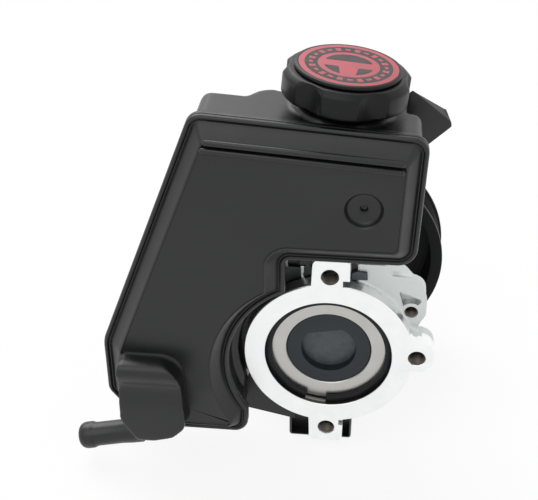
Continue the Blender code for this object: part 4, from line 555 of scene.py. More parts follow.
def reservoir_outline(insets, cutout_inset):
    """Lists the reservoir's outline in mm, each side moved inwards by its own inset."""
    lines = {}
    for side, (start, end) in RESERVOIR_SIDES.items():
        start, end = Vector(start), Vector(end)
        along = (end - start).normalized()
        shift = Vector((along.y, -along.x)) * insets[side]
        lines[side] = (start + shift, along)

    def crossing(first, second):
        """Gives the point where two sides would cross."""
        (point, along), (other, other_along) = lines[first], lines[second]
        gap = other - point
        across = along.x * other_along.y - along.y * other_along.x
        return point + along * (gap.x * other_along.y - gap.y * other_along.x) / across

    def on_cutout(side, upper):
        """Gives the point where a side meets the arc round the pump."""
        x = lines[side][0].x
        height = math.sqrt(radius * radius - x * x)
        return Vector((x, height if upper else -height))

    radius = CUTOUT_RADIUS + cutout_inset
    corners = {pair: crossing(*pair) for pair in RESERVOIR_CORNERS}
    order = list(RESERVOIR_CORNERS)
    cutout_top = on_cutout("notch_side", True)
    cutout_bottom = on_cutout("lip", False)
    outline = []
    for index, pair in enumerate(order):
        before = corners[order[index - 1]]
        after = corners[order[(index + 1) % len(order)]]
        if pair == CONCAVE_CORNER:
            after = cutout_top
        if pair[0] == "lip":
            before = cutout_bottom
        inset = min(insets[pair[0]], insets[pair[1]])
        size = RESERVOIR_CORNERS[pair]
        fillet = size + inset if pair == CONCAVE_CORNER else max(size - inset, size * 0.3)
        outline += corner_arc(before, corners[pair], after, fillet, CORNER_STEPS)
        if pair == CONCAVE_CORNER:
            top_angle = math.atan2(cutout_top.y, cutout_top.x)
            bottom_angle = math.atan2(cutout_bottom.y, cutout_bottom.x) + math.tau
            outline += arc((0, 0), radius, top_angle, bottom_angle, CUTOUT_STEPS)
    return outline


def section(depth, even=0.0, share=0.0, cutout=None):
    """Places the outline at a depth in mm: inset evenly, then a share of the way to the panel."""
    insets = {side: even + (inset - even) * share for side, inset in PANEL_INSETS.items()}
    if cutout is None:
        cutout = even + (PANEL_CUTOUT_INSET - even) * share
    return [(across * MM, depth * MM, up * MM) for across, up in reservoir_outline(insets, cutout)]


def cap_point(along, across=0.0, depth=0.0):
    """Gives a point in the cap's own frame: along its axis from its top, across and deep."""
    side = Y_AXIS.cross(CAP_AXIS)
    return CAP_CENTRE + CAP_AXIS * along + side * across + Y_AXIS * depth


# Materials


def add_node(tree, kind, settings=None, links=None):
    """Adds a node with its settings (attributes or input values) and its links."""
    node = tree.nodes.new(kind)
    for key, value in (settings or {}).items():
        if hasattr(node, str(key)):
            setattr(node, key, value)
        else:
            node.inputs[key].default_value = value
    for key, (source, output) in (links or {}).items():
        tree.links.new(source.outputs[output], node.inputs[key])
    return node


def start_material(name):
    """Makes an empty node material."""
    material = bpy.data.materials.new(name)
    material.use_nodes = True
    material.node_tree.nodes.clear()
    return material, material.node_tree


def per_metre(size_in_mm):
    """Gives the noise scale whose features have a size in millimetres."""
    return 1 / (size_in_mm * MM)


def surfaced(name, tint, dark, roughness, metallic=0.0, grain=0.6, height=0.02, patch=14.0, rings=0.0,
             specular=0.5):
    """Makes a finish with patchy gloss, fine grain and, for turned faces, tool rings.

    Grain and patch are the widths of the grain and of the patches in mm, height is the grain's
    height in mm, dark is how much the patches darken, and rings is the tool marks' pitch in mm.
    """
    material, tree = start_material(name)
    place = add_node(tree, "ShaderNodeTexCoord")
    patches = add_node(
        tree, "ShaderNodeTexNoise", {"Scale": per_metre(patch), "Detail": 3.0}, {"Vector": (place, "Object")}
    )
    grains = add_node(
        tree, "ShaderNodeTexNoise", {"Scale": per_metre(grain), "Detail": 2.0}, {"Vector": (place, "Object")}
    )
    shade = add_node(tree, "ShaderNodeValToRGB", None, {"Fac": (patches, "Fac")})
    start, end = PATCH_EDGES
    shade.color_ramp.elements[0].position = start
    shade.color_ramp.elements[1].position = end
    shade.color_ramp.elements[0].color = (*(value * (1 - dark) for value in tint), 1)
    shade.color_ramp.elements[1].color = (*tint, 1)
    low, high = roughness
    gloss = add_node(
        tree, "ShaderNodeMapRange", {"From Min": start, "From Max": end, "To Min": low, "To Max": high},
        {"Value": (patches, "Fac")},
    )
    relief = add_node(
        tree, "ShaderNodeBump", {"Strength": 0.6, "Distance": height * MM}, {"Height": (grains, "Fac")}
    )
    if rings:
        marks = add_node(
            tree, "ShaderNodeTexWave",
            {"wave_type": "RINGS", "rings_direction": "Y", "Scale": math.pi / 10 / (rings * MM),
             "Distortion": 0.4, "Detail": 1.0},
            {"Vector": (place, "Object")},
        )
        relief = add_node(
            tree, "ShaderNodeBump", {"Strength": 0.5, "Distance": height * MM},
            {"Height": (marks, "Fac"), "Normal": (relief, "Normal")},
        )
    shader = add_node(
        tree, "ShaderNodeBsdfPrincipled", {"Metallic": metallic, "Specular IOR Level": specular},
        {"Base Color": (shade, "Color"), "Roughness": (gloss, "Result"), "Normal": (relief, "Normal")},
    )
    add_node(tree, "ShaderNodeOutputMaterial", None, {"Surface": (shader, "BSDF")})
    return material


def finishes(colours):
    """Makes each finish of the pump once, by the record's slot names and a few of its own."""
    return {
        # Glass-filled nylon straight from a fine-textured mould: a soft sheen that varies in patches
        "moulded_nylon": surfaced(
            "Glass-filled nylon, moulded", colours.nylon, 0.20, (0.30, 0.42), grain=0.8, height=0.02,
            patch=18,
        ),
        # The cap's nylon, from a polished mould: darker, and glossier on its lands
        "cap_nylon": surfaced(
            "Glass-filled nylon, polished mould", colours.cap, 0.20, (0.30, 0.38), grain=0.9,
            height=0.01, patch=12, specular=0.26,
        ),
        # Black oxide in a lighter, more uneven grey: painted light on the socket's floor and a painted sheen
        # on the clip's toe
        "painted_light_oxide": surfaced(
            "Steel, worn black oxide", colours.worn, 0.35, (0.42, 0.60), 0.3, grain=0.8, height=0.03,
            patch=3,
        ),
        # Die-cast aluminium, blasted: pale, even and slightly rough like fine sand
        "cast_aluminium": surfaced(
            "Die-cast aluminium, blasted", colours.aluminium, 0.08, (0.48, 0.62), 1.0, grain=0.9,
            height=0.06, patch=9,
        ),
        # Aluminium turned on its face: brighter than the casting, with faint circular tool marks
        "machined_aluminium": surfaced(
            "Aluminium, face-turned", colours.machined, 0.05, (0.30, 0.42), 1.0, grain=0.7, height=0.012,
            patch=10, rings=0.9,
        ),
        # Aluminium bored and tapped, in a dark grey-brown that is mostly painted shade of the deep holes and
        # the bore's wall; glossy, so that only the edges glint
        "shaded_bore_aluminium": surfaced(
            "Aluminium, bored, painted shade", colours.oiled, 0.25, (0.28, 0.40), 0.9, grain=0.6, height=0.01,
            patch=5,
        ),
        # Steel ground on a turntable: a satin grey with clear rings, drawn coarser than the real ones
        "ground_steel": surfaced(
            "Steel, ground", colours.ground, 0.10, (0.26, 0.36), 1.0, grain=0.5, height=0.01, patch=12,
            rings=0.8,
        ),
        # Spring steel, oil-blackened after bending: dark with a dull shine
        "spring_steel": surfaced(
            "Spring steel, oil-blackened", colours.spring, 0.15, (0.40, 0.54), 0.5, grain=0.6,
            height=0.01, patch=6, specular=0.3,
        ),
        # Steel with a black oxide skin over light turning marks: a bluish charcoal
        "phosphated_steel": surfaced(
            "Steel, black oxide", colours.black_oxide, 0.14, (0.40, 0.54), 0.35, grain=0.6, height=0.02,
            patch=8, rings=1.2,
        ),
        # Electrodeposited paint on the steel pulley: black and smooth, made darker still and with a weaker
        # reflection as painted shade of the reservoir's shadow
        "black_paint": surfaced(
            "Steel, black electrocoat", colours.paint, 0.10, (0.26, 0.36), grain=1.2, height=0.01,
            patch=20, rings=2.2, specular=0.14,
        ),
        # Moulded nitrile rubber: matt black
        "nitrile_rubber": surfaced(
            "Nitrile rubber, moulded", colours.rubber, 0.10, (0.62, 0.76), grain=0.5, height=0.02, patch=5
        ),
        # Sintered bronze: warm, with the fine pores of pressed powder
        "sintered_bronze": surfaced(
            "Bronze, sintered", colours.bronze, 0.20, (0.36, 0.50), 1.0, grain=0.4, height=0.05, patch=4
        ),
        # Screen ink on nylon: a slightly faded red, satin, with thin and full places
        "red_print": surfaced(
            "Red screen ink on nylon", colours.print_red, 0.22, (0.40, 0.55), grain=0.7, height=0.01,
            patch=7,
        ),
        # Screen ink on the red field: a soft black
        "black_print": surfaced(
            "Black screen ink on nylon", colours.print_black, 0.10, (0.44, 0.58), grain=0.7, height=0.01,
            patch=7,
        ),
    }


FINISHES = {}


def place_piece(obj, name, body, finish, *nodes, slot=None):
    """Names, finishes and shades a piece, hangs it on the body it rides on and hides the parts it stands in
    for.
    """
    obj.name = name
    obj.data.name = name
    obj.data.materials.clear()
    obj.data.materials.append(FINISHES[finish])
    obj.data.shade_smooth()
    obj.data.set_sharp_from_angle(angle=SHARP_ANGLE)
    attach(obj, body)
    if nodes:
        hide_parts(*nodes)
    return obj


# The reservoir


def front_shell_body(sizes):
    """Lofts the front shell from its back through the bead, groove, border and crest to the panel."""
    weld = WELD_PLANE / MM
    panel = PANEL_DEPTH / MM
    bead = sizes.bead / MM
    groove = sizes.groove / MM
    recess = sizes.recess / MM
    top = weld - 2.8
    crest = [
        (1.2, 0.84), (0.5, 0.92), (0.12, 0.97), (0, 1.01), (0.05, 1.045), (recess * 0.85, 1.07),
        (recess, 1.10),
    ]
    return loft("front shell", [
        section(weld, 0.6), section(weld - 0.2, 0.15), section(weld - 0.6), section(weld - 1.2),
        section(weld - 1.8, bead * 0.07), section(weld - 2.3, bead * 0.2), section(top + 0.12, bead * 0.42),
        section(top, bead * 0.62), section(top + 0.12, bead * 0.82), section(top + 0.45, bead),
        section(top + groove, bead + 0.35), section(top + groove + 0.1, bead + 0.8),
        section(top + groove - 0.4, bead + 1.1, 0.08),
        *(section(panel + depth, BORDER_INSET, share) for depth, share in crest),
    ])


def ridge(sizes, inset):
    """Makes one of the two ridges along the top, at an inset in mm, with round ends."""
    outline = reservoir_outline({**PANEL_INSETS, "top": inset}, PANEL_CUTOUT_INSET)
    left, right = (
        Vector((x * MM, PANEL_DEPTH - 0.5 * MM, z * MM)) for x, z in outline[CORNER_STEPS:CORNER_STEPS + 2]
    )
    run = (right - left).length
    radius = sizes.ridge
    nose = [(radius * math.sin(turn), -radius * math.cos(turn)) for turn in (0, 0.35, 0.7, 1.05, 1.4)]
    tail = [(across, run - up) for across, up in reversed(nose)]
    return turned("ridge", nose + tail, left, right - left, 24)


def outlet_corner(sizes):
    """Makes the raised corner that the return pipe leaves: an outline cut by a side profile."""
    weld = WELD_PLANE / MM
    panel = PANEL_DEPTH / MM
    foot = panel + 0.4

    def outline(grow):
        """Gives the corner's outline, grown outwards at its foot."""
        return rounded([
            (OUTLET_LEFT - grow * 0.4, OUTLET_TOP + grow, 4.0),
            (OUTLET_RIGHT - 3.0 + grow, OUTLET_TOP + grow, 12.0),
            (OUTLET_RIGHT + grow, OUTLET_BOTTOM + 13.2, 8.0),
            (OUTLET_RIGHT - 6.7 + grow, OUTLET_BOTTOM + 6.4 - grow, 5.0),
            (OUTLET_LEFT + 9.5, OUTLET_BOTTOM, 4.0), (OUTLET_LEFT, -27.0, 5.0),
        ], 8, MM)

    body = loft("outlet corner", [
        [(x, depth * MM, z) for x, z in outline(grow)]
        for depth, grow in (
            (weld - 2.0, 1.2), (foot, 1.2), (foot - 0.4, 0.7), (foot - 1.0, 0.3), (foot - 2.0, 0.05),
            (foot - 3.4, 0), (OUTLET_FRONT - 4.0, 0),
        )
    ])
    inside = panel + 6.0
    top, front = OUTLET_TOP, OUTLET_FRONT
    roll = smooth_path([
        (foot, top + 1.2), (foot - 0.8, top + 0.3), (panel - 3.0, top - 0.1), (panel - 6.0, top - 0.5),
        (panel - 8.8, top - 1.5), (front + 0.5, top - 3.4), (front - 0.1, top - 5.8),
        (front + 0.7, top - 9.4), (front + 2.4, top - 13.0), (front + 2.9, top - 16.4),
        (front + 1.9, top - 21.4), (front + 0.9, top - 27.0), (front + 0.6, top - 40.0),
        (front + 0.8, OUTLET_FACE_BOTTOM), (front + 2.4, OUTLET_FACE_BOTTOM - 1.5),
        (panel - 4.0, OUTLET_BOTTOM - 0.4), (panel, OUTLET_BOTTOM - 1.0),
    ], 5)
    ends = [(inside, OUTLET_BOTTOM - 2.4), (inside, top + 4.0), (foot, top + 4.0)]
    profile = [(depth * MM, up * MM) for depth, up in roll + ends]
    side = extruded("outlet profile", profile, (OUTLET_LEFT - 10) * MM, (OUTLET_RIGHT + 10) * MM, "X")
    combine(body, [side], "INTERSECT")
    return blend_skin(body, sizes.outlet_voxel, *OUTLET_BLEND)


def return_pipe():
    """Turns the return pipe, slightly wider at its root, with its barb and its rounded end."""
    end = PIPE_LENGTH
    return turned("return pipe", [
        (0, -3 * MM), (PIPE_RADIUS + 0.5 * MM, -3 * MM), (PIPE_RADIUS + 0.4 * MM, 3.0 * MM),
        (PIPE_RADIUS, 8 * MM), (PIPE_RADIUS, end - 9.4 * MM), (PIPE_RADIUS + 0.2 * MM, end - 8.4 * MM),
        (PIPE_BARB - 0.1 * MM, end - 7.2 * MM), (PIPE_BARB, end - 6.2 * MM), (PIPE_BARB, end - 3.4 * MM),
        (PIPE_BARB - 0.3 * MM, end - 2.0 * MM), (PIPE_BARB - 0.9 * MM, end - 0.9 * MM),
        (PIPE_BARB - 1.7 * MM, end - 0.2 * MM), (PIPE_BARB - 2.5 * MM, end), (PIPE_BORE + 0.1 * MM, end),
        (0, end),
    ], PIPE_START, PIPE_DIRECTION, 64)


def face_pocket():
    """Turns the cutter of the round pocket in the panel: rolled rim, sloped wall and centre dimple."""
    rim, floor = POCKET_RIM, POCKET_FLOOR
    deep = -POCKET_DEPTH
    return turned("face pocket", [
        (0, 2 * MM), (rim + 1.2 * MM, 2 * MM), (rim + 1.2 * MM, -0.5 * MM), (rim + 0.6 * MM, -0.7 * MM),
        (rim + 0.1 * MM, -1.2 * MM), (rim - 0.3 * MM, -2.0 * MM), (floor + 0.5 * MM, deep + 0.6 * MM),
        (floor + 0.1 * MM, deep + 0.3 * MM), (floor - 0.5 * MM, deep), (2.5 * MM, deep),
        (2.2 * MM, deep + 0.2 * MM), (1.9 * MM, deep + 0.1 * MM), (1.3 * MM, deep - 1.2 * MM),
        (0.5 * MM, deep - 1.3 * MM), (0, deep - 0.7 * MM),
    ], (POCKET.x, PANEL_DEPTH, POCKET.z), -Y_AXIS, 96)


class PUMP_OT_front_shell(bpy.types.Operator):
    """Moulds the front half of the reservoir"""
    bl_idname = "pump.front_shell"
    bl_label = "Front Shell"

    def execute(self, context):
        sizes = context.scene.reservoir_sizes
        shell = front_shell_body(sizes)
        additions = [outlet_corner(sizes), return_pipe()]
        additions += [ridge(sizes, inset) for inset in RIDGE_INSETS]
        combine(shell, additions, "UNION")
        mouth = PIPE_START + PIPE_DIRECTION * (PIPE_LENGTH + MM)
        inside = PIPE_START + PIPE_DIRECTION * 4 * MM
        combine(shell, [rod("pipe bore", PIPE_BORE, inside, mouth), face_pocket()], "DIFFERENCE")
        place_piece(shell, "front_shell", "pump", "moulded_nylon", "reservoir_front_shell")
        return {"FINISHED"}


def tank_top(x):
    """Gives the height of the tank's top wall in mm at a distance across."""
    (left, left_height), (right, right_height) = RESERVOIR_SIDES["top"]
    return left_height - TANK_INSET + (x - left) * (right_height - left_height) / (right - left)


def tank(sizes):
    """Lofts the tank behind the weld, with a round back edge and room for the pump's flange."""
    back = TANK_BACK / MM
    edge = sizes.edge_round / MM
    rise = [
        (back - edge + edge * math.sin(turn), TANK_INSET + edge * (1 - math.cos(turn)))
        for turn in (math.pi / 2 * step / 6 for step in range(7))
    ]
    shallow = SADDLE_INNER / MM + 1.5 - CUTOUT_RADIUS
    sections = [section(-8.0, TANK_INSET, cutout=0.3), section(0.9, TANK_INSET, cutout=0.3)]
    sections += [section(1.2, TANK_INSET, cutout=shallow)]
    sections += [section(depth, inset, cutout=shallow + inset - TANK_INSET) for depth, inset in rise]
    return loft("tank", sections)


def neck_dome():
    """Makes the deep block that carries the filler neck, flaring into the weld flange."""
    left, right = BLOCK_LEFT - BLOCK_RAMP, BLOCK_RIGHT
    front, back = BLOCK_FRONT, BLOCK_DEEP_BACK
    flared = right + BLOCK_FLARE
    dome = extruded("dome", rounded([
        (left, BLOCK_BOTTOM, 4), (left, tank_top(left), 1), (flared, tank_top(flared), 7),
        (flared, BLOCK_BOTTOM, 6),
    ], 8, MM), front * MM, back * MM)
    plan = [
        (left - 1, front - 1, 0), (left - 1, TANK_BACK / MM - 2, 0), (left + BLOCK_RAMP, BLOCK_BACK, 9),
        (BLOCK_STEP + 6, BLOCK_BACK, 6), (BLOCK_STEP + 11, back, 6), (right, back, 6), (right, 3.0, 8),
        (flared + 1, front + 2, 0), (flared + 1, front - 1, 0),
    ]
    cutter = extruded(
        "dome plan", rounded(plan, 8, MM), (BLOCK_BOTTOM - 1) * MM, (tank_top(left) + 1) * MM, "Z"
    )
    return combine(dome, [cutter], "INTERSECT")


def weld_flange():
    """Lofts the rear shell's weld flange with its rounded rim."""
    front = WELD_PLANE / MM + 0.3
    return loft("weld flange", [
        section(front, 0.6), section(front + 0.2, 0.15), section(front + 0.6), section(front + 2.2),
        section(front + 2.8, 0.25), section(front + 3.0, 0.8), section(front + 3.0, 2.0),
    ])


def saddle():
    """Makes the saddle: wall along the barrel, lip, foot, web, shroud and skirt, legs and ledges."""
    inner, outer = SADDLE_INNER, SADDLE_INNER + SADDLE_WALL
    start, end = SADDLE_TURN
    front, back = SADDLE_ENDS
    wall = extruded(
        "saddle wall", arc((0, 0), outer, start, end, 64) + arc((0, 0), inner, end, start, 64), front, back
    )
    rim = (inner + outer) / 2
    seat = BARREL_RADIUS + 2 * FIT
    lip = extruded(
        "saddle lip", arc((0, 0), rim, start, end, 64) + arc((0, 0), seat, end, start, 64),
        front + 0.6 * MM, front + 3 * MM,
    )
    low, high = FOOT
    foot = round_edges(block("saddle foot", low, high), 1.6 * MM, 4)
    combine(foot, [
        rod("barrel clearance", (seat + inner) / 2, (0, -50 * MM, 0), (0, 80 * MM, 0), 128),
        block("foot channel", *FOOT_CHANNEL),
    ], "DIFFERENCE")
    right = low[0] + 3 * MM
    turn = math.atan2(-math.sqrt(rim ** 2 - right ** 2), right)
    web = extruded("saddle web", [
        (-48 * MM, -45.4 * MM), (right, -52.2 * MM), *arc((0, 0), rim, turn, math.radians(-155), 24),
    ], front + 0.3 * MM, front + 4 * MM)
    parts = [wall, lip, foot, web, block("saddle shroud", *SHROUD), block("saddle skirt", *SKIRT)]
    leg = LEG_GAP + LEG_THICK
    for side in (-1, 1):
        rail_front = RIGHT_RAIL_FRONT if side > 0 else front
        parts.append(side_block(
            "saddle leg", side, (LEG_GAP, front, FLANGE_RADIUS), (leg, LEG_BACK, (BLOCK_BOTTOM + 1) * MM)
        ))
        parts.append(side_block(
            "saddle ledge", side, (leg - MM, rail_front + FIT, RAIL_SPLIT),
            (leg + FIT + RAIL_LEDGE, LEG_BACK - FIT, RAIL_SPLIT + RAIL_LEDGE),
        ))
    return parts


def splash_wing():
    """Makes the horn at the right of the filler neck, its edges slightly rounded."""
    wing = loft("splash wing", [
        [(x * MM, depth * MM, z * MM) for x, z in face]
        for depth, face in zip(WING_ENDS, (WING_FRONT, WING_BACK))
    ])
    return round_edges(wing, 0.7 * MM, 3, 20)


class PUMP_OT_rear_shell(bpy.types.Operator):
    """Moulds the rear half of the reservoir with its neck and saddle"""
    bl_idname = "pump.rear_shell"
    bl_label = "Rear Shell"

    def execute(self, context):
        sizes = context.scene.reservoir_sizes
        shell = tank(sizes)
        collar = turned("collar", [
            (0, NECK_ROOT), (COLLAR_RADIUS + 1.2 * MM, NECK_ROOT), (COLLAR_RADIUS, NECK_ROOT + 6 * MM),
            (COLLAR_RADIUS, COLLAR_TOP - 1.2 * MM), (COLLAR_RADIUS - 1.2 * MM, COLLAR_TOP),
            (0, COLLAR_TOP),
        ], CAP_CENTRE, CAP_AXIS, 96)
        combine(shell, [neck_dome(), collar], "UNION")
        blend_skin(shell, sizes.voxel, *TANK_BLEND)
        neck = rod("neck", NECK_RADIUS, cap_point(NECK_ROOT), cap_point(NECK_TOP), 96)
        pipe = rod(
            "suction pipe", SUCTION_PIPE_RADIUS, (0, INLET_Y, 39 * MM), (0, INLET_Y, (BLOCK_BOTTOM + 2) * MM)
        )
        combine(shell, [weld_flange(), splash_wing(), neck, pipe, *saddle()], "UNION")
        combine(shell, [
            rod("neck bore", NECK_BORE, cap_point(NECK_ROOT - 40 * MM), cap_point(MM), 96),
            rod("suction bore", SUCTION_PIPE_BORE, (0, INLET_Y, 30 * MM), (0, INLET_Y, 90 * MM)),
        ], "DIFFERENCE")
        place_piece(shell, "rear_shell", "pump", "moulded_nylon", "reservoir_rear_shell")
        return {"FINISHED"}


def clip_outline(thick):
    """Lists the outline of the folded strip, hooked under the rail and over the ledge."""
    root = LEG_GAP + LEG_THICK
    face = root + FIT + RAIL_LEDGE + FIT
    top = RAIL_SPLIT + RAIL_LEDGE + FIT
    low = RAIL_SPLIT - 6.5 * MM
    lip = root + FIT + RAIL_LEDGE * 0.5 + MM
    start = root + 0.9 * MM
    corners = [
        (start, top, 0.1), (face, top, 0.3), (face, low, 0.3), (lip, low, 0.1),
        (lip, low - thick, 0.3), (face + thick * 0.7, low - thick, 0.6),
        (face + thick * 1.6, low + MM, 0.9), (face + thick, low + 3 * MM, 1.4),
        (face + thick, top - MM, 1.0), (face + thick * 1.6, top + thick, 0.5),
        (face + thick * 0.7, top + thick * 1.6, 0.6), (start, top + thick, 0.3),
    ]
    return rounded([(x, z, radius * MM) for x, z, radius in corners], 5)


def clip_toe():
    """Makes the toe of the right clip, which shows beside the top ear."""
    toe = extruded("clip toe", rounded(CLIP_TOE, 4, MM), *CLIP_TOE_ENDS)
    return round_edges(toe, 0.3 * MM, 2, 50)


class PUMP_OT_clips(bpy.types.Operator):
    """Bends the two clips that hold the reservoir on the casting"""
    bl_idname = "pump.clips"
    bl_label = "Reservoir Clips"

    def execute(self, context):
        outline = clip_outline(context.scene.pump_sizes.clip)
        for name, side in (("reservoir_clip_left", -1), ("reservoir_clip_right", 1)):
            low_y, high_y = (vector.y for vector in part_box(name))
            clip = extruded(name, [(side * x, z) for x, z in outline], low_y, high_y)
            round_edges(clip, 0.15 * MM, 2, 50)
            place_piece(clip, name.replace("reservoir_clip", "spring_clip"), "pump", "spring_steel", name)
        # The toe takes the lighter oxide, a painted sheen on its face
        place_piece(
            clip_toe(), "spring_clip_toe", "pump", "painted_light_oxide", "reservoir_clip_right",
            slot="spring_steel",
        )
        return {"FINISHED"}


# The pump


def hole(name, radius, place, low, high):
    """Makes the cutter for a hole along Y, with a chamfer at its mouth."""
    return turned(name, [
        (0, low - MM), (radius + 1.3 * MM, low - MM), (radius + 0.3 * MM, low), (radius, low + 0.4 * MM),
        (radius, high + MM), (0, high + MM),
    ], place, Y_AXIS, 48)


def hole_cutters():
    """Makes the cutters for the holes in the ears and in the rear boss."""
    holes = [
        hole("ear hole", EAR_HOLE_RADIUS, (0, 0, side * EAR_HOLE_HEIGHT), 0, FLANGE_THICK)
        for side in (1, -1)
    ]
    holes.append(hole("side hole", EAR_HOLE_RADIUS, SIDE_HOLE, 0, SIDE_EAR_DEPTH + 2 * MM))
    holes.append(hole("boss hole", REAR_BOSS_HOLE, REAR_BOSS, BOSS_FRONT, BOSS_BACK + MM))
    return holes


def ear_outlines():
    """Lists the outlines of the flange's top, bottom and side ears."""
    root = FLANGE_RADIUS * 0.7
    wide = EAR_HALF_WIDTH
    tip = SIDE_HOLE.x + SIDE_EAR_RADIUS
    x, z = SIDE_HOLE.x, SIDE_HOLE.z
    return {
        "top ear": [
            (-wide, root, 0), (-wide + 1.2 * MM, EAR_TOP, 3.5 * MM), (wide, EAR_TOP, 3.5 * MM),
            (wide, root, 0),
        ],
        "bottom ear": [
            (-wide, -root, 0), (wide - MM, -root, 0), (wide - 1.4 * MM, EAR_BOTTOM, 2.8 * MM),
            (-wide + 0.8 * MM, EAR_BOTTOM, 2.8 * MM),
        ],
        "side ear": [
            (root, 22.5 * MM, 0), (x - 2 * MM, z + 11.8 * MM, 5 * MM),
            (tip, z + SIDE_EAR_RADIUS, 7.8 * MM), (tip, z - SIDE_EAR_RADIUS, 7.8 * MM),
            (x - 6 * MM, z - SIDE_EAR_RADIUS, 3 * MM), (root, -19 * MM, 0),
        ],
    }


def flange(sizes):
    """Makes the machined flange with its ears, its nicks and its chamfered bore."""
    edge = sizes.edge
    disc = turned("flange", [
        (0, 0), (FLANGE_RADIUS - edge, 0), (FLANGE_RADIUS, edge), (FLANGE_RADIUS, FLANGE_THICK - edge),
        (FLANGE_RADIUS - edge, FLANGE_THICK), (0, FLANGE_THICK),
    ], steps=sizes.steps)
    ears = []
    for name, corners in ear_outlines().items():
        ear = extruded(name, rounded(corners, 10), 0, FLANGE_THICK)
        ears.append(round_edges(ear, edge, 2, 50))
    combine(disc, ears, "UNION")
    groove = BORE_RADIUS + BORE_GROOVE_DEPTH
    bore = turned("flange bore", [
        (0, -MM), (BORE_RADIUS + 0.9 * MM, -MM), (BORE_RADIUS - 0.1 * MM, 0.2 * MM),
        (BORE_RADIUS - 0.1 * MM, 0.5 * MM), (groove, 0.8 * MM),
        (groove, FLANGE_THICK + MM), (0, FLANGE_THICK + MM),
    ], steps=sizes.steps)
    nicks = []
    for side in (1, -1):
        foot = side * (FLANGE_RADIUS - EAR_NICK * 0.25)
        low, high = sorted((foot, foot + side * EAR_NICK))
        nicks.append(block(
            "ear nick", (EAR_HALF_WIDTH - EAR_NICK, -MM, low), (EAR_HALF_WIDTH + 2 * MM, 10 * MM, high)
        ))
    return combine(disc, [bore, *nicks, *hole_cutters()], "DIFFERENCE")


def casting(sizes):
    """Casts the body behind the flange, melts its corners into foundry fillets and bores it."""
    body = turned("casting", [
        (0, MM), (FLANGE_RADIUS - 0.5 * MM, MM), (FLANGE_RADIUS - 0.5 * MM, FLANGE_THICK - 0.3 * MM),
        (BARREL_RADIUS, FLANGE_THICK), (BARREL_RADIUS, BARREL_END - 9 * MM),
        (BARREL_RADIUS - 1.5 * MM, BARREL_END - 4 * MM), (BARREL_RADIUS - 5 * MM, BARREL_END),
        (NOSE_RADIUS + 5 * MM, BARREL_END), (NOSE_RADIUS + 1.5 * MM, BARREL_END + 1.5 * MM),
        (NOSE_RADIUS, BARREL_END + 5 * MM), (NOSE_RADIUS, NOSE_END - 0.6 * MM),
        (NOSE_RADIUS - 0.8 * MM, NOSE_END), (0, NOSE_END),
    ], steps=sizes.steps)
    low, high = (VALVE_CENTRE + Z_AXIS * height for height in VALVE_ENDS)
    boss_ends = [REAR_BOSS + Y_AXIS * depth for depth in (BOSS_FRONT, BOSS_BACK)]
    parts = [
        extruded("side ear", rounded(ear_outlines()["side ear"], 10), 2 * MM, SIDE_EAR_DEPTH),
        rod("rear boss", REAR_BOSS_RADIUS, *boss_ends, 64),
        rod("valve tower", VALVE_RADIUS, low, high, 64),
        rod("inlet boss", INLET_BOSS_RADIUS, (0, INLET_Y, BORE_RADIUS), (0, INLET_Y, INLET_TOP), 64),
    ]
    parts += shoulder() + [rail(side) for side in (-1, 1)]
    parts += [rib(turn) for turn in RIB_DEGREES]
    combine(body, parts, "UNION")
    blend_skin(body, sizes.voxel, *CASTING_BLEND)
    return combine(body, [*casting_bores(sizes.steps), recess(), *hole_cutters()], "DIFFERENCE")


def casting_bores(steps):
    """Makes the cutters for the barrel, the valve tower, the inlet boss and the bearing nose."""
    wide = BORE_RADIUS + 0.6 * MM
    bore = turned("bore", [(0, -MM), (wide, -MM), (wide, BORE_BACK), (0, BORE_BACK)], steps=steps)
    valve = rod(
        "valve bore", VALVE_BORE, VALVE_CENTRE - Z_AXIS * 50 * MM, VALVE_CENTRE + Z_AXIS * 8 * MM, 48
    )
    seat = INLET_TOP - 6 * MM
    inlet = turned("inlet bore", [
        (0, BORE_RADIUS - 3 * MM), (INLET_BORE, BORE_RADIUS - 3 * MM), (INLET_BORE, seat),
        (INLET_SEAT, seat), (INLET_SEAT, INLET_TOP + MM), (0, INLET_TOP + MM),
    ], (0, INLET_Y, 0), Z_AXIS, 48)
    shaft, seal, bearing, groove = NOSE_BORES
    seal_seat, bearing_seat, groove_start, groove_end = NOSE_SEATS
    nose = turned("nose bore", [
        (0, 50 * MM), (shaft, 50 * MM), (shaft, seal_seat), (seal, seal_seat), (seal, bearing_seat),
        (bearing, bearing_seat), (bearing, groove_start), (groove, groove_start), (groove, groove_end),
        (bearing, groove_end), (bearing + MM, NOSE_END + MM), (0, NOSE_END + MM),
    ], steps=96)
    return [bore, valve, inlet, nose]


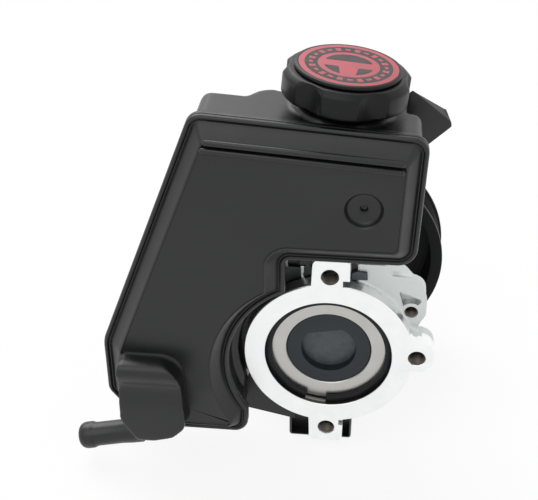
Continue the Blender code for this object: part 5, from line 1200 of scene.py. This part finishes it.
def shoulder():
    """Makes the shoulder between the top ear and the rear boss: front wall and deeper body."""
    left = LEG_GAP + LEG_THICK + FIT
    crest = EAR_TOP - 6.5 * MM
    x, z = REAR_BOSS.x, REAR_BOSS.z
    wall = [
        (left, BARREL_RADIUS * 0.8, 0), (left, crest, 0), (x - 13.6 * MM, crest, MM),
        (x - 11.2 * MM, z + 21.2 * MM, 2 * MM), (x - 0.6 * MM, z + 20.6 * MM, 3 * MM),
        (x + 4.6 * MM, z + 18 * MM, 4 * MM), (x + REAR_BOSS_RADIUS, z + 6 * MM, 5 * MM),
        (x + REAR_BOSS_RADIUS - 0.4 * MM, z - MM, 0), (x, z - 20 * MM, 0), (x - 20 * MM, 0, 0),
    ]
    rail_side = left + 2 * RAIL_LEDGE + 2 * MM
    body = [
        (rail_side, BARREL_RADIUS * 0.7), (rail_side, crest - 4 * MM), (x - 14 * MM, crest - 5 * MM),
        (x - 3 * MM, z + 14 * MM), (x + 4 * MM, z + 6 * MM), (x + 5 * MM, z - 2 * MM),
        (x, z - 20 * MM), (x - 20 * MM, 0),
    ]
    return [
        extruded("shoulder wall", rounded(wall), FLANGE_THICK - FIT, FLANGE_THICK + 5 * MM),
        extruded("shoulder body", body, FLANGE_THICK + 4 * MM, 30 * MM),
    ]


def recess():
    """Makes the cutter for the three-cornered recess in the shoulder."""
    x, z = REAR_BOSS.x, REAR_BOSS.z
    corners = [
        (x - 6.8 * MM, z + 12.2 * MM, 0.6 * MM), (x + 5.6 * MM, z + 7.2 * MM, 1.2 * MM),
        (x - 2.6 * MM, z - 2 * MM, 2 * MM),
    ]
    cutter = extruded("recess", rounded(corners), FLANGE_THICK - 2 * MM, FLANGE_THICK + 3.6 * MM)
    room = rod("boss room", REAR_BOSS_HOLE + 2.2 * MM, REAR_BOSS, REAR_BOSS + Y_AXIS * 20 * MM)
    return combine(cutter, [room], "DIFFERENCE")


def rail(side):
    """Makes one rail of the casting under a ledge of the reservoir."""
    inner = side * (LEG_GAP + LEG_THICK + FIT)
    neck = inner + side * 1.9 * MM
    lip = inner + side * RAIL_LEDGE
    foot = RAIL_SPLIT - 6.2 * MM
    front = RIGHT_RAIL_FRONT if side > 0 else SADDLE_ENDS[0]
    outline = [
        (inner, BARREL_RADIUS * 0.8), (neck, BARREL_RADIUS * 0.8), (neck, foot), (lip, foot),
        (lip, RAIL_SPLIT - FIT), (inner, RAIL_SPLIT - FIT),
    ]
    return extruded("rail", outline, front, LEG_BACK)


def rib(degrees):
    """Makes one rib that stiffens the bearing nose."""
    part = extruded("rib", [
        (BARREL_END - 4 * MM, NOSE_RADIUS - 3 * MM), (NOSE_END - 8 * MM, NOSE_RADIUS - 3 * MM),
        (BARREL_END + 10 * MM, NOSE_RADIUS + 4 * MM), (BARREL_END - 4 * MM, BARREL_RADIUS - 6 * MM),
    ], -RIB_HALF_WIDTH, RIB_HALF_WIDTH, "X")
    turn = Quaternion(Y_AXIS, -math.radians(degrees - 90))
    for vertex in part.data.vertices:
        vertex.co = turn @ vertex.co
    return part


def bore_wall(sizes):
    """Turns the wall of the bore with the groove that holds the retaining ring."""
    outer = BORE_RADIUS + BORE_GROOVE_DEPTH + 0.3 * MM
    groove = BORE_RADIUS + BORE_GROOVE_DEPTH
    front = COVER_FACE - RING_THICK - 2 * FIT
    return turned("bore wall", [
        (BORE_RADIUS + 0.1 * MM, 0.8 * MM), (outer, 0.9 * MM), (outer, FLANGE_THICK - FIT),
        (BORE_RADIUS, FLANGE_THICK - FIT), (BORE_RADIUS, COVER_FACE), (groove, COVER_FACE),
        (groove, front), (BORE_RADIUS, front), (BORE_RADIUS, 0.9 * MM),
    ], steps=sizes.steps)


def thread(name, radius, place, low, high):
    """Turns the thread of one tapped hole as a thin lining of sharp ridges."""
    count = int((high - low) / THREAD_PITCH)
    root = radius - 0.1 * MM
    profile = [(radius + 0.15 * MM, low), (radius + 0.15 * MM, low + count * THREAD_PITCH)]
    for turn in reversed(range(count)):
        start = low + turn * THREAD_PITCH
        profile += [
            (root, start + THREAD_PITCH * 0.95), (radius - THREAD_HEIGHT, start + THREAD_PITCH * 0.5),
            (root, start + THREAD_PITCH * 0.05),
        ]
    return turned(name, profile, place, Y_AXIS, 48)


class PUMP_OT_housing(bpy.types.Operator):
    """Casts the pump's body and machines its flange"""
    bl_idname = "pump.housing"
    bl_label = "Housing"

    def execute(self, context):
        sizes = context.scene.pump_sizes
        place_piece(
            flange(sizes), "machined_flange", "pump", "machined_aluminium", "pump_housing",
            slot="cast_aluminium",
        )
        place_piece(casting(sizes), "pump_casting", "pump", "cast_aluminium", "pump_housing")
        # The bore's wall and the threads below take the dark bore finish, painted shade
        place_piece(
            bore_wall(sizes), "flange_bore_wall", "pump", "shaded_bore_aluminium", "pump_housing",
            slot="cast_aluminium",
        )
        front = THREAD_FRONT
        holes = {
            "thread_top": (EAR_HOLE_RADIUS, Z_AXIS * EAR_HOLE_HEIGHT, front, FLANGE_THICK),
            "thread_bottom": (EAR_HOLE_RADIUS, -Z_AXIS * EAR_HOLE_HEIGHT, front, FLANGE_THICK),
            "thread_side": (EAR_HOLE_RADIUS, SIDE_HOLE, front, SIDE_EAR_DEPTH),
            "thread_boss": (REAR_BOSS_HOLE, REAR_BOSS, BOSS_FRONT + front, BOSS_BACK - 3 * MM),
        }
        for name, size in holes.items():
            place_piece(
                thread(name, *size), name, "pump", "shaded_bore_aluminium", "pump_housing", slot="cast_aluminium"
            )
        return {"FINISHED"}


def cover_rim(steps):
    """Turns the ground rim of the end cover."""
    inner, outer = COVER_DARK_RADIUS, BORE_RADIUS - FIT
    face, back = COVER_FACE, COVER_FACE + COVER_THICK
    return turned("cover rim", [
        (inner + 0.1 * MM, face + 0.5 * MM), (inner + 0.5 * MM, face), (outer - MM, face),
        (outer, face + MM), (outer, back), (inner + 0.1 * MM, back),
    ], steps=steps)


def socket_outline():
    """Lists the outline of the round socket with its one flat."""
    reach = math.acos(SOCKET_FLAT / SOCKET_RADIUS)
    turn = SOCKET_FLAT_TURN
    return arc((0, 0), SOCKET_RADIUS, turn + reach, turn - reach + math.tau, 72)


def cover_centre(steps):
    """Turns the dark centre of the end cover and sinks the socket in it."""
    edge, face, back = COVER_DARK_RADIUS, COVER_FACE, COVER_FACE + COVER_THICK
    centre = turned("cover centre", [
        (0, face + 0.5 * MM), (edge - 0.7 * MM, face + 0.5 * MM), (edge - 0.3 * MM, face + 0.6 * MM),
        (edge, face + MM), (edge, back), (0, back),
    ], steps=steps)
    socket = extruded("socket", socket_outline(), face - 2 * MM, face + SOCKET_DEPTH)
    combine(centre, [socket], "DIFFERENCE")
    return round_edges(centre, 0.35 * MM, 2, 50)


def socket_floor():
    """Makes a second floor for the socket, a thin plate just above the turned one."""
    outline = [(across * 0.97, up * 0.97) for across, up in socket_outline()]
    bottom = COVER_FACE + SOCKET_DEPTH
    return extruded("socket floor", outline, bottom - 0.1 * MM, bottom + 0.5 * MM)


def retaining_ring():
    """Bends the open ring that holds the end cover."""
    outer = RING_OUTER_RADIUS
    half_gap = RING_GAP / 2 / outer
    start, end = RING_GAP_TURN + half_gap, RING_GAP_TURN - half_gap + math.tau
    outline = arc((0, 0), outer, start, end, 128) + arc((0, 0), RING_INNER_RADIUS, end, start, 128)
    ring = extruded("retaining ring", outline, COVER_FACE - FIT - RING_THICK, COVER_FACE - FIT)
    return round_edges(ring, 0.3 * MM, 2, 50)


class PUMP_OT_end_cover(bpy.types.Operator):
    """Turns the end cover and bends its retaining ring"""
    bl_idname = "pump.end_cover"
    bl_label = "End Cover"

    def execute(self, context):
        steps = context.scene.pump_sizes.steps
        place_piece(cover_rim(steps), "cover_ground_rim", "pump", "ground_steel", "end_cover")
        place_piece(cover_centre(steps), "cover_dark_centre", "pump", "phosphated_steel", "end_cover")
        # The socket's second floor takes the lighter oxide: painted light where the floor catches it
        place_piece(
            socket_floor(), "cover_socket_floor", "pump", "painted_light_oxide", "end_cover",
            slot="phosphated_steel",
        )
        place_piece(
            retaining_ring(), "cover_retaining_ring", "pump", "spring_steel", "end_cover_retaining_ring"
        )
        return {"FINISHED"}


def pulley_profile():
    """Lists the pulley's profile: hub, stepped web, rim, grooves and back."""
    near, far = PULLEY_ENDS
    rim, inner = PULLEY_RADIUS, PULLEY_RADIUS - PULLEY_RIM_WALL
    hub, step = PULLEY_HUB_RADIUS, WEB_STEP_RADIUS
    hub_near, hub_far = PULLEY_HUB_ENDS
    web_front = PULLEY_WEB_BACK - PULLEY_WEB_THICK
    front_step, back_step = web_front - WEB_STEP_DEPTH, PULLEY_WEB_BACK - WEB_STEP_DEPTH
    profile = [
        (PULLEY_BORE, hub_near), (hub - 0.6 * MM, hub_near), (hub, hub_near + 0.6 * MM),
        (hub, front_step - 2 * MM), (hub + 0.6 * MM, front_step - 0.6 * MM), (hub + 2 * MM, front_step),
        (step - 3 * MM, front_step), (step - 1.6 * MM, front_step + 0.8 * MM),
        (step - 0.8 * MM, web_front - 0.6 * MM), (step + 0.6 * MM, web_front),
        (inner - 3 * MM, web_front), (inner - 0.9 * MM, web_front - 0.9 * MM),
        (inner, web_front - 3 * MM), (inner, near + MM), (inner + 0.3 * MM, near + 0.3 * MM),
        (inner + MM, near), (rim - 0.8 * MM, near), (rim - 0.2 * MM, near + 0.2 * MM),
        (rim, near + 0.8 * MM),
    ]
    band_width = PULLEY_GROOVES * PULLEY_GROOVE_PITCH
    first = (near + far - band_width) / 2
    crest = rim - 1.2 * MM
    root = crest - PULLEY_GROOVE_DEPTH + 0.1 * MM
    for groove in range(PULLEY_GROOVES):
        start = first + groove * PULLEY_GROOVE_PITCH
        middle = start + PULLEY_GROOVE_PITCH / 2
        profile += [
            (rim if groove == 0 else crest, start + 0.1 * MM), (crest - 0.3 * MM, start + 0.5 * MM),
            (root, middle - 0.25 * MM), (root, middle + 0.25 * MM),
            (crest - 0.3 * MM, start + PULLEY_GROOVE_PITCH - 0.5 * MM),
        ]
    return profile + [
        (rim, first + band_width), (rim, far - 0.6 * MM), (rim - 0.6 * MM, far), (inner - 0.4 * MM, far),
        (inner - 2 * MM, PULLEY_WEB_BACK), (step + 3 * MM, PULLEY_WEB_BACK),
        (step + 1.4 * MM, PULLEY_WEB_BACK - 0.8 * MM), (step, back_step), (hub, back_step),
        (hub, hub_far - 0.6 * MM), (hub - 0.6 * MM, hub_far), (PULLEY_BORE, hub_far),
    ]


class PUMP_OT_pulley(bpy.types.Operator):
    """Turns the ribbed belt pulley"""
    bl_idname = "pump.pulley"
    bl_label = "Pulley"

    def execute(self, context):
        wheel = turned("pulley", pulley_profile(), steps=context.scene.pump_sizes.steps)
        # The pulley's paint holds painted shade of the reservoir's shadow
        place_piece(wheel, "belt_pulley", "rotating_group", "black_paint", "pulley")
        return {"FINISHED"}


# The cap


def soft_least(first, second, width):
    """Gives the smaller of two values, blended where they come close."""
    share = max(width - abs(first - second), 0) / width
    return min(first, second) - share * share * width / 4


def scalloped_radius(radius, angle, blend):
    """Gives the cap's radius at an angle, where the finger scallops cut into it."""
    reach = CAP_RADIUS - SCALLOP_DEPTH + SCALLOP_RADIUS
    spacing = math.tau / SCALLOP_COUNT
    offset = (angle - SCALLOP_TURN + math.pi / 2 + spacing / 2) % spacing - spacing / 2
    sine = reach * math.sin(offset)
    if abs(sine) >= SCALLOP_RADIUS:
        return radius
    wall = reach * math.cos(offset) - math.sqrt(SCALLOP_RADIUS ** 2 - sine ** 2)
    return soft_least(radius, wall, blend)


def cap_body(sizes):
    """Makes the cap's shell: a turned profile whose side is scooped by the finger scallops."""
    top, low = CAP_SHELL_TOP, CAP_BOTTOM
    hollow = NECK_RADIUS + 0.6 * MM
    outside = [
        (CAP_TOP_RADIUS - 3 * MM, top), (CAP_TOP_RADIUS - 0.8 * MM, top),
        (CAP_TOP_RADIUS - 0.1 * MM, top - 0.15 * MM), (CAP_TOP_RADIUS + 0.5 * MM, top - 0.6 * MM),
        (CAP_RADIUS - 0.5 * MM, top - CAP_CHAMFER + 0.5 * MM),
        (CAP_RADIUS - 0.1 * MM, top - CAP_CHAMFER - 0.1 * MM), (CAP_RADIUS, top - CAP_CHAMFER - 0.8 * MM),
        (CAP_RADIUS, top - 5 * MM), (CAP_RADIUS, top - 8 * MM), (CAP_RADIUS, low + 1.2 * MM),
        (CAP_RADIUS - 0.3 * MM, low + 0.4 * MM), (CAP_RADIUS - 1.1 * MM, low),
    ]
    rows = [(radius, height, True) for radius, height in outside]
    rows += [(hollow, low, False), (hollow, CAP_CEILING, False)]
    steps = sizes.steps
    bm = bmesh.new()
    rings = []
    for radius, height, scooped in rows:
        ring = []
        for step in range(steps):
            angle = math.tau * step / steps
            reach = scalloped_radius(radius, angle, sizes.blend) if scooped else radius
            point = cap_point(height, reach * math.cos(angle), reach * math.sin(angle))
            ring.append(bm.verts.new(point))
        rings.append(ring)
    for near, far in zip(rings, rings[1:]):
        for index in range(steps):
            after = (index + 1) % steps
            bm.faces.new((near[index], near[after], far[after], far[index]))
    bm.faces.new(rings[0])
    bm.faces.new(rings[-1])
    return new_object("cap", bm)


def inlay(name, outlines, low, high):
    """Extrudes outlines of (across, deep) points in the cap's frame into one thin print."""
    bm = bmesh.new()
    for pair in outlines:
        levels = [
            [[bm.verts.new(cap_point(height, *point)) for point in outline] for outline in pair]
            for height in (low, high)
        ]
        count = len(pair[0])
        for index in range(count):
            after = (index + 1) % count
            for outer, inner in levels:
                bm.faces.new((outer[index], outer[after], inner[after], inner[index]))
            for near, far in zip(*levels):
                bm.faces.new((near[index], near[after], far[after], far[index]))
    return new_object(name, bm)


def band(inner, outer, start=0.0, end=math.tau, steps=128):
    """Gives the two outlines of a printed ring, or of a part of one."""
    if end - start >= math.tau:
        last = math.tau * (1 - 1 / steps)
        return tuple(arc((0, 0), radius, 0, last, steps - 1) for radius in (outer, inner))
    middle = (inner + outer) / 2
    thin = (outer - inner) * 0.02
    centre = arc((0, 0), middle + thin, start + 0.01, end - 0.01, steps)
    centre += arc((0, 0), middle - thin, end - 0.01, start + 0.01, steps)
    edge = arc((0, 0), outer, start, end, steps) + arc((0, 0), inner, end, start, steps)
    return edge, centre


def window(radius, start, end):
    """Gives the two outlines of one window of the printed wheel, cut from its round by a chord."""
    edge = arc((0, 0), radius, start, end, 32)
    chord = arc((0, 0), radius * 0.94, end - 0.12, start + 0.12, 32)
    foot = radius * (0.30 if math.sin((start + end) / 2) > 0 else -0.26)
    edge += [(across, foot + (deep - foot) * 0.04) for across, deep in chord]
    middle = sum((Vector(point) for point in edge), Vector((0, 0))) / len(edge)
    centre = [tuple(middle + (Vector(point) - middle) * 0.02) for point in edge]
    return edge, centre


def disc_base(rim):
    """Turns the raised disc, with a black rim round the sunk place of the red field."""
    edge, foot, sunk = DISC_RADIUS, -DISC_THICK, -0.25 * MM
    return turned("disc", [
        (0, foot), (edge - 0.5 * MM, foot), (edge, foot + 0.4 * MM), (edge, -0.9 * MM),
        (edge - 0.2 * MM, -0.4 * MM), (edge - 0.8 * MM, PRINT_FACE), (edge - rim + 0.1 * MM, PRINT_FACE),
        (edge - rim, sunk), (0, sunk),
    ], CAP_CENTRE, CAP_AXIS, 192)


def red_field(radius):
    """Turns the red field of the disc."""
    return turned("red field", [
        (0, -0.3 * MM), (radius, -0.3 * MM), (radius, -0.12 * MM), (radius - 0.1 * MM, PRINT_FACE),
        (0, PRINT_FACE),
    ], CAP_CENTRE, CAP_AXIS, 192)


def black_print(radius, ink):
    """Prints the black ring and the three windows of the wheel."""
    wheel = radius * WHEEL_SHARE
    shapes = [band(*(radius * share for share in RING_SHARES))]
    shapes += [window(wheel, math.radians(start), math.radians(end)) for start, end in WINDOW_DEGREES]
    return inlay("ink", shapes, PRINT_FACE - 0.05 * MM, PRINT_FACE + ink)


def red_marks(radius, sizes):
    """Prints the ticks round the black ring, a long one after each short one."""
    middle = radius * sum(RING_SHARES) / 2
    spacing = math.tau / sizes.ticks
    marks = []
    for tick in range(sizes.ticks):
        start = tick * spacing
        half = TICK_HALF_LENGTHS[tick % 2]
        marks.append(band(middle - half, middle + half, start, start + spacing * 0.55, 6))
    return inlay("marks", marks, PRINT_FACE - 0.02 * MM, PRINT_FACE + 1.6 * sizes.ink)


class PUMP_OT_cap(bpy.types.Operator):
    """Moulds the filler cap and prints its disc"""
    bl_idname = "pump.cap"
    bl_label = "Filler Cap"

    def execute(self, context):
        sizes = context.scene.cap_sizes
        field = DISC_RADIUS - sizes.rim - 0.1 * MM
        place_piece(
            cap_body(sizes), "scalloped_cap", "cap", "cap_nylon", "filler_cap", slot="moulded_nylon"
        )
        place_piece(disc_base(sizes.rim), "disc_base", "cap", "cap_nylon", "cap_disc", slot="red_print")
        place_piece(red_field(field), "disc_red_field", "cap", "red_print", "cap_disc")
        place_piece(
            black_print(field, sizes.ink), "disc_black_print", "cap", "black_print", "cap_disc",
            slot="red_print",
        )
        place_piece(red_marks(field, sizes), "disc_red_marks", "cap", "red_print", "cap_disc")
        return {"FINISHED"}


class PUMP_OT_inner_parts(bpy.types.Operator):
    """Gives every remaining part its finish"""
    bl_idname = "pump.inner_parts"
    bl_label = "Inner Parts"

    def execute(self, context):
        for name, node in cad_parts.items():
            slots = [slot.material.name.split(".")[0] for slot in node.material_slots if slot.material]
            finish = next((key for key in FINISHES if any(key in slot for slot in slots)), "ground_steel")
            for slot in node.material_slots:
                slot.material = FINISHES[finish]
            if not node.material_slots:
                node.data.materials.append(FINISHES[finish])
        return {"FINISHED"}


class PUMP_OT_stage(bpy.types.Operator):
    """Sets the floor, the lights and the camera"""
    bl_idname = "pump.stage"
    bl_label = "Stage"

    def execute(self, context):
        scene = context.scene
        sizes = scene.stage_sizes
        scene.view_settings.view_transform = "Standard"
        top = CAD_BOX[0].z - FLOOR_GAP
        half = sizes.floor / 2
        floor = block("floor", (-half, -half, top - MM), (half, half, top))
        floor.name = "studio_floor"
        floor.data.materials.append(paper_material())
        scene.world = studio_sky(sizes.sky)
        add_light("key_light", KEY_PLACE, sizes.key)
        add_light("fill_light", FILL_PLACE, sizes.fill)
        camera = bpy.data.objects.new("camera", bpy.data.cameras.new("camera"))
        scene.collection.objects.link(camera)
        camera.data.sensor_width = CAMERA_SENSOR
        camera.data.lens = CAMERA_LENS
        look = (CAMERA_TARGET - CAMERA_PLACE).to_track_quat("-Z", "Y")
        camera.rotation_mode = "QUATERNION"
        camera.rotation_quaternion = look @ Quaternion(Z_AXIS, CAMERA_ROLL)
        camera.location = CAMERA_PLACE
        scene.camera = camera
        return {"FINISHED"}


def add_light(name, place, strength):
    """Adds a wide, distant soft box that shines from a place towards the pump."""
    light = bpy.data.lights.new(name, "SUN")
    light.angle = math.radians(SOFT_BOX_DEGREES)
    light.energy = strength
    obj = bpy.data.objects.new(name, light)
    bpy.context.scene.collection.objects.link(obj)
    obj.location = place
    obj.rotation_mode = "QUATERNION"
    obj.rotation_quaternion = (-obj.location).to_track_quat("-Z", "Y")
    return obj


def seen_or_mirrored(tree):
    """Adds the nodes that tell the rays of the camera and of reflections from the others."""
    path = add_node(tree, "ShaderNodeLightPath")
    return add_node(
        tree, "ShaderNodeMath", {"operation": "MAXIMUM"},
        {0: (path, "Is Camera Ray"), 1: (path, "Is Glossy Ray")},
    )


def paper_material():
    """Makes white seamless paper: it shows the object's soft shadow and is white around it."""
    material, tree = start_material("White paper, matt")
    fibre = add_node(tree, "ShaderNodeTexNoise", {"Scale": per_metre(6.0)})
    relief = add_node(
        tree, "ShaderNodeBump", {"Strength": 0.1, "Distance": 0.02 * MM}, {"Height": (fibre, "Fac")}
    )
    paper = add_node(
        tree, "ShaderNodeBsdfPrincipled",
        {"Base Color": (0.99, 0.99, 0.99, 1), "Roughness": 0.9, "Specular IOR Level": 0.1},
        {"Normal": (relief, "Normal")},
    )
    glow = add_node(tree, "ShaderNodeEmission", {"Color": (1, 1, 1, 1), "Strength": 1.0})
    share = add_node(
        tree, "ShaderNodeMath", {"operation": "MULTIPLY", 1: FLOOR_WHITE_SHARE},
        {0: (seen_or_mirrored(tree), "Value")},
    )
    mixed = add_node(
        tree, "ShaderNodeMixShader", None,
        {"Fac": (share, "Value"), 1: (paper, "BSDF"), 2: (glow, "Emission")},
    )
    add_node(tree, "ShaderNodeOutputMaterial", None, {"Surface": (mixed, "Shader")})
    return material


def studio_sky(strength):
    """Makes the even light of a white studio, which the camera and reflections see as white."""
    world = bpy.data.worlds.new("White studio")
    world.use_nodes = True
    tree = world.node_tree
    tree.nodes.clear()
    light = add_node(tree, "ShaderNodeBackground", {"Color": (1, 1, 1, 1), "Strength": strength})
    paper = add_node(tree, "ShaderNodeBackground", {"Color": (1, 1, 1, 1), "Strength": 1.0})
    mixed = add_node(
        tree, "ShaderNodeMixShader", None,
        {"Fac": (seen_or_mirrored(tree), "Value"), 1: (light, "Background"), 2: (paper, "Background")},
    )
    add_node(tree, "ShaderNodeOutputWorld", None, {"Surface": (mixed, "Shader")})
    return world


class PUMP_PT_panel(bpy.types.Panel):
    """Lists the pump's pieces and their sizes"""
    bl_idname = "PUMP_PT_panel"
    bl_label = "Power Steering Pump"
    bl_space_type = "VIEW_3D"
    bl_region_type = "UI"
    bl_category = "Pump"

    def draw(self, context):
        layout = self.layout
        for group in GROUPS:
            box = layout.box()
            for name in group.__annotations__:
                box.prop(getattr(context.scene, GROUPS[group]), name)
        for operator in PIECES:
            layout.operator(operator.bl_idname)


GROUPS = {
    PumpColours: "pump_colours",
    ReservoirSizes: "reservoir_sizes",
    CapSizes: "cap_sizes",
    PumpSizes: "pump_sizes",
    StageSizes: "stage_sizes",
}
PIECES = (
    PUMP_OT_stage, PUMP_OT_front_shell, PUMP_OT_rear_shell, PUMP_OT_clips, PUMP_OT_housing,
    PUMP_OT_end_cover, PUMP_OT_pulley, PUMP_OT_cap, PUMP_OT_inner_parts,
)


def register():
    """Registers the classes and their settings."""
    for group, name in GROUPS.items():
        bpy.utils.register_class(group)
        setattr(bpy.types.Scene, name, PointerProperty(type=group))
    for operator in PIECES:
        bpy.utils.register_class(operator)
    bpy.utils.register_class(PUMP_PT_panel)


def unregister():
    """Removes the classes and their settings."""
    bpy.utils.unregister_class(PUMP_PT_panel)
    for operator in reversed(PIECES):
        bpy.utils.unregister_class(operator)
    for group, name in GROUPS.items():
        delattr(bpy.types.Scene, name)
        bpy.utils.unregister_class(group)


def main():
    """Builds every piece."""
    register()
    FINISHES.update(finishes(bpy.context.scene.pump_colours))
    for operator in PIECES:
        category, name = operator.bl_idname.split(".")
        getattr(getattr(bpy.ops, category), name)()


if __name__ == "__main__":
    main()
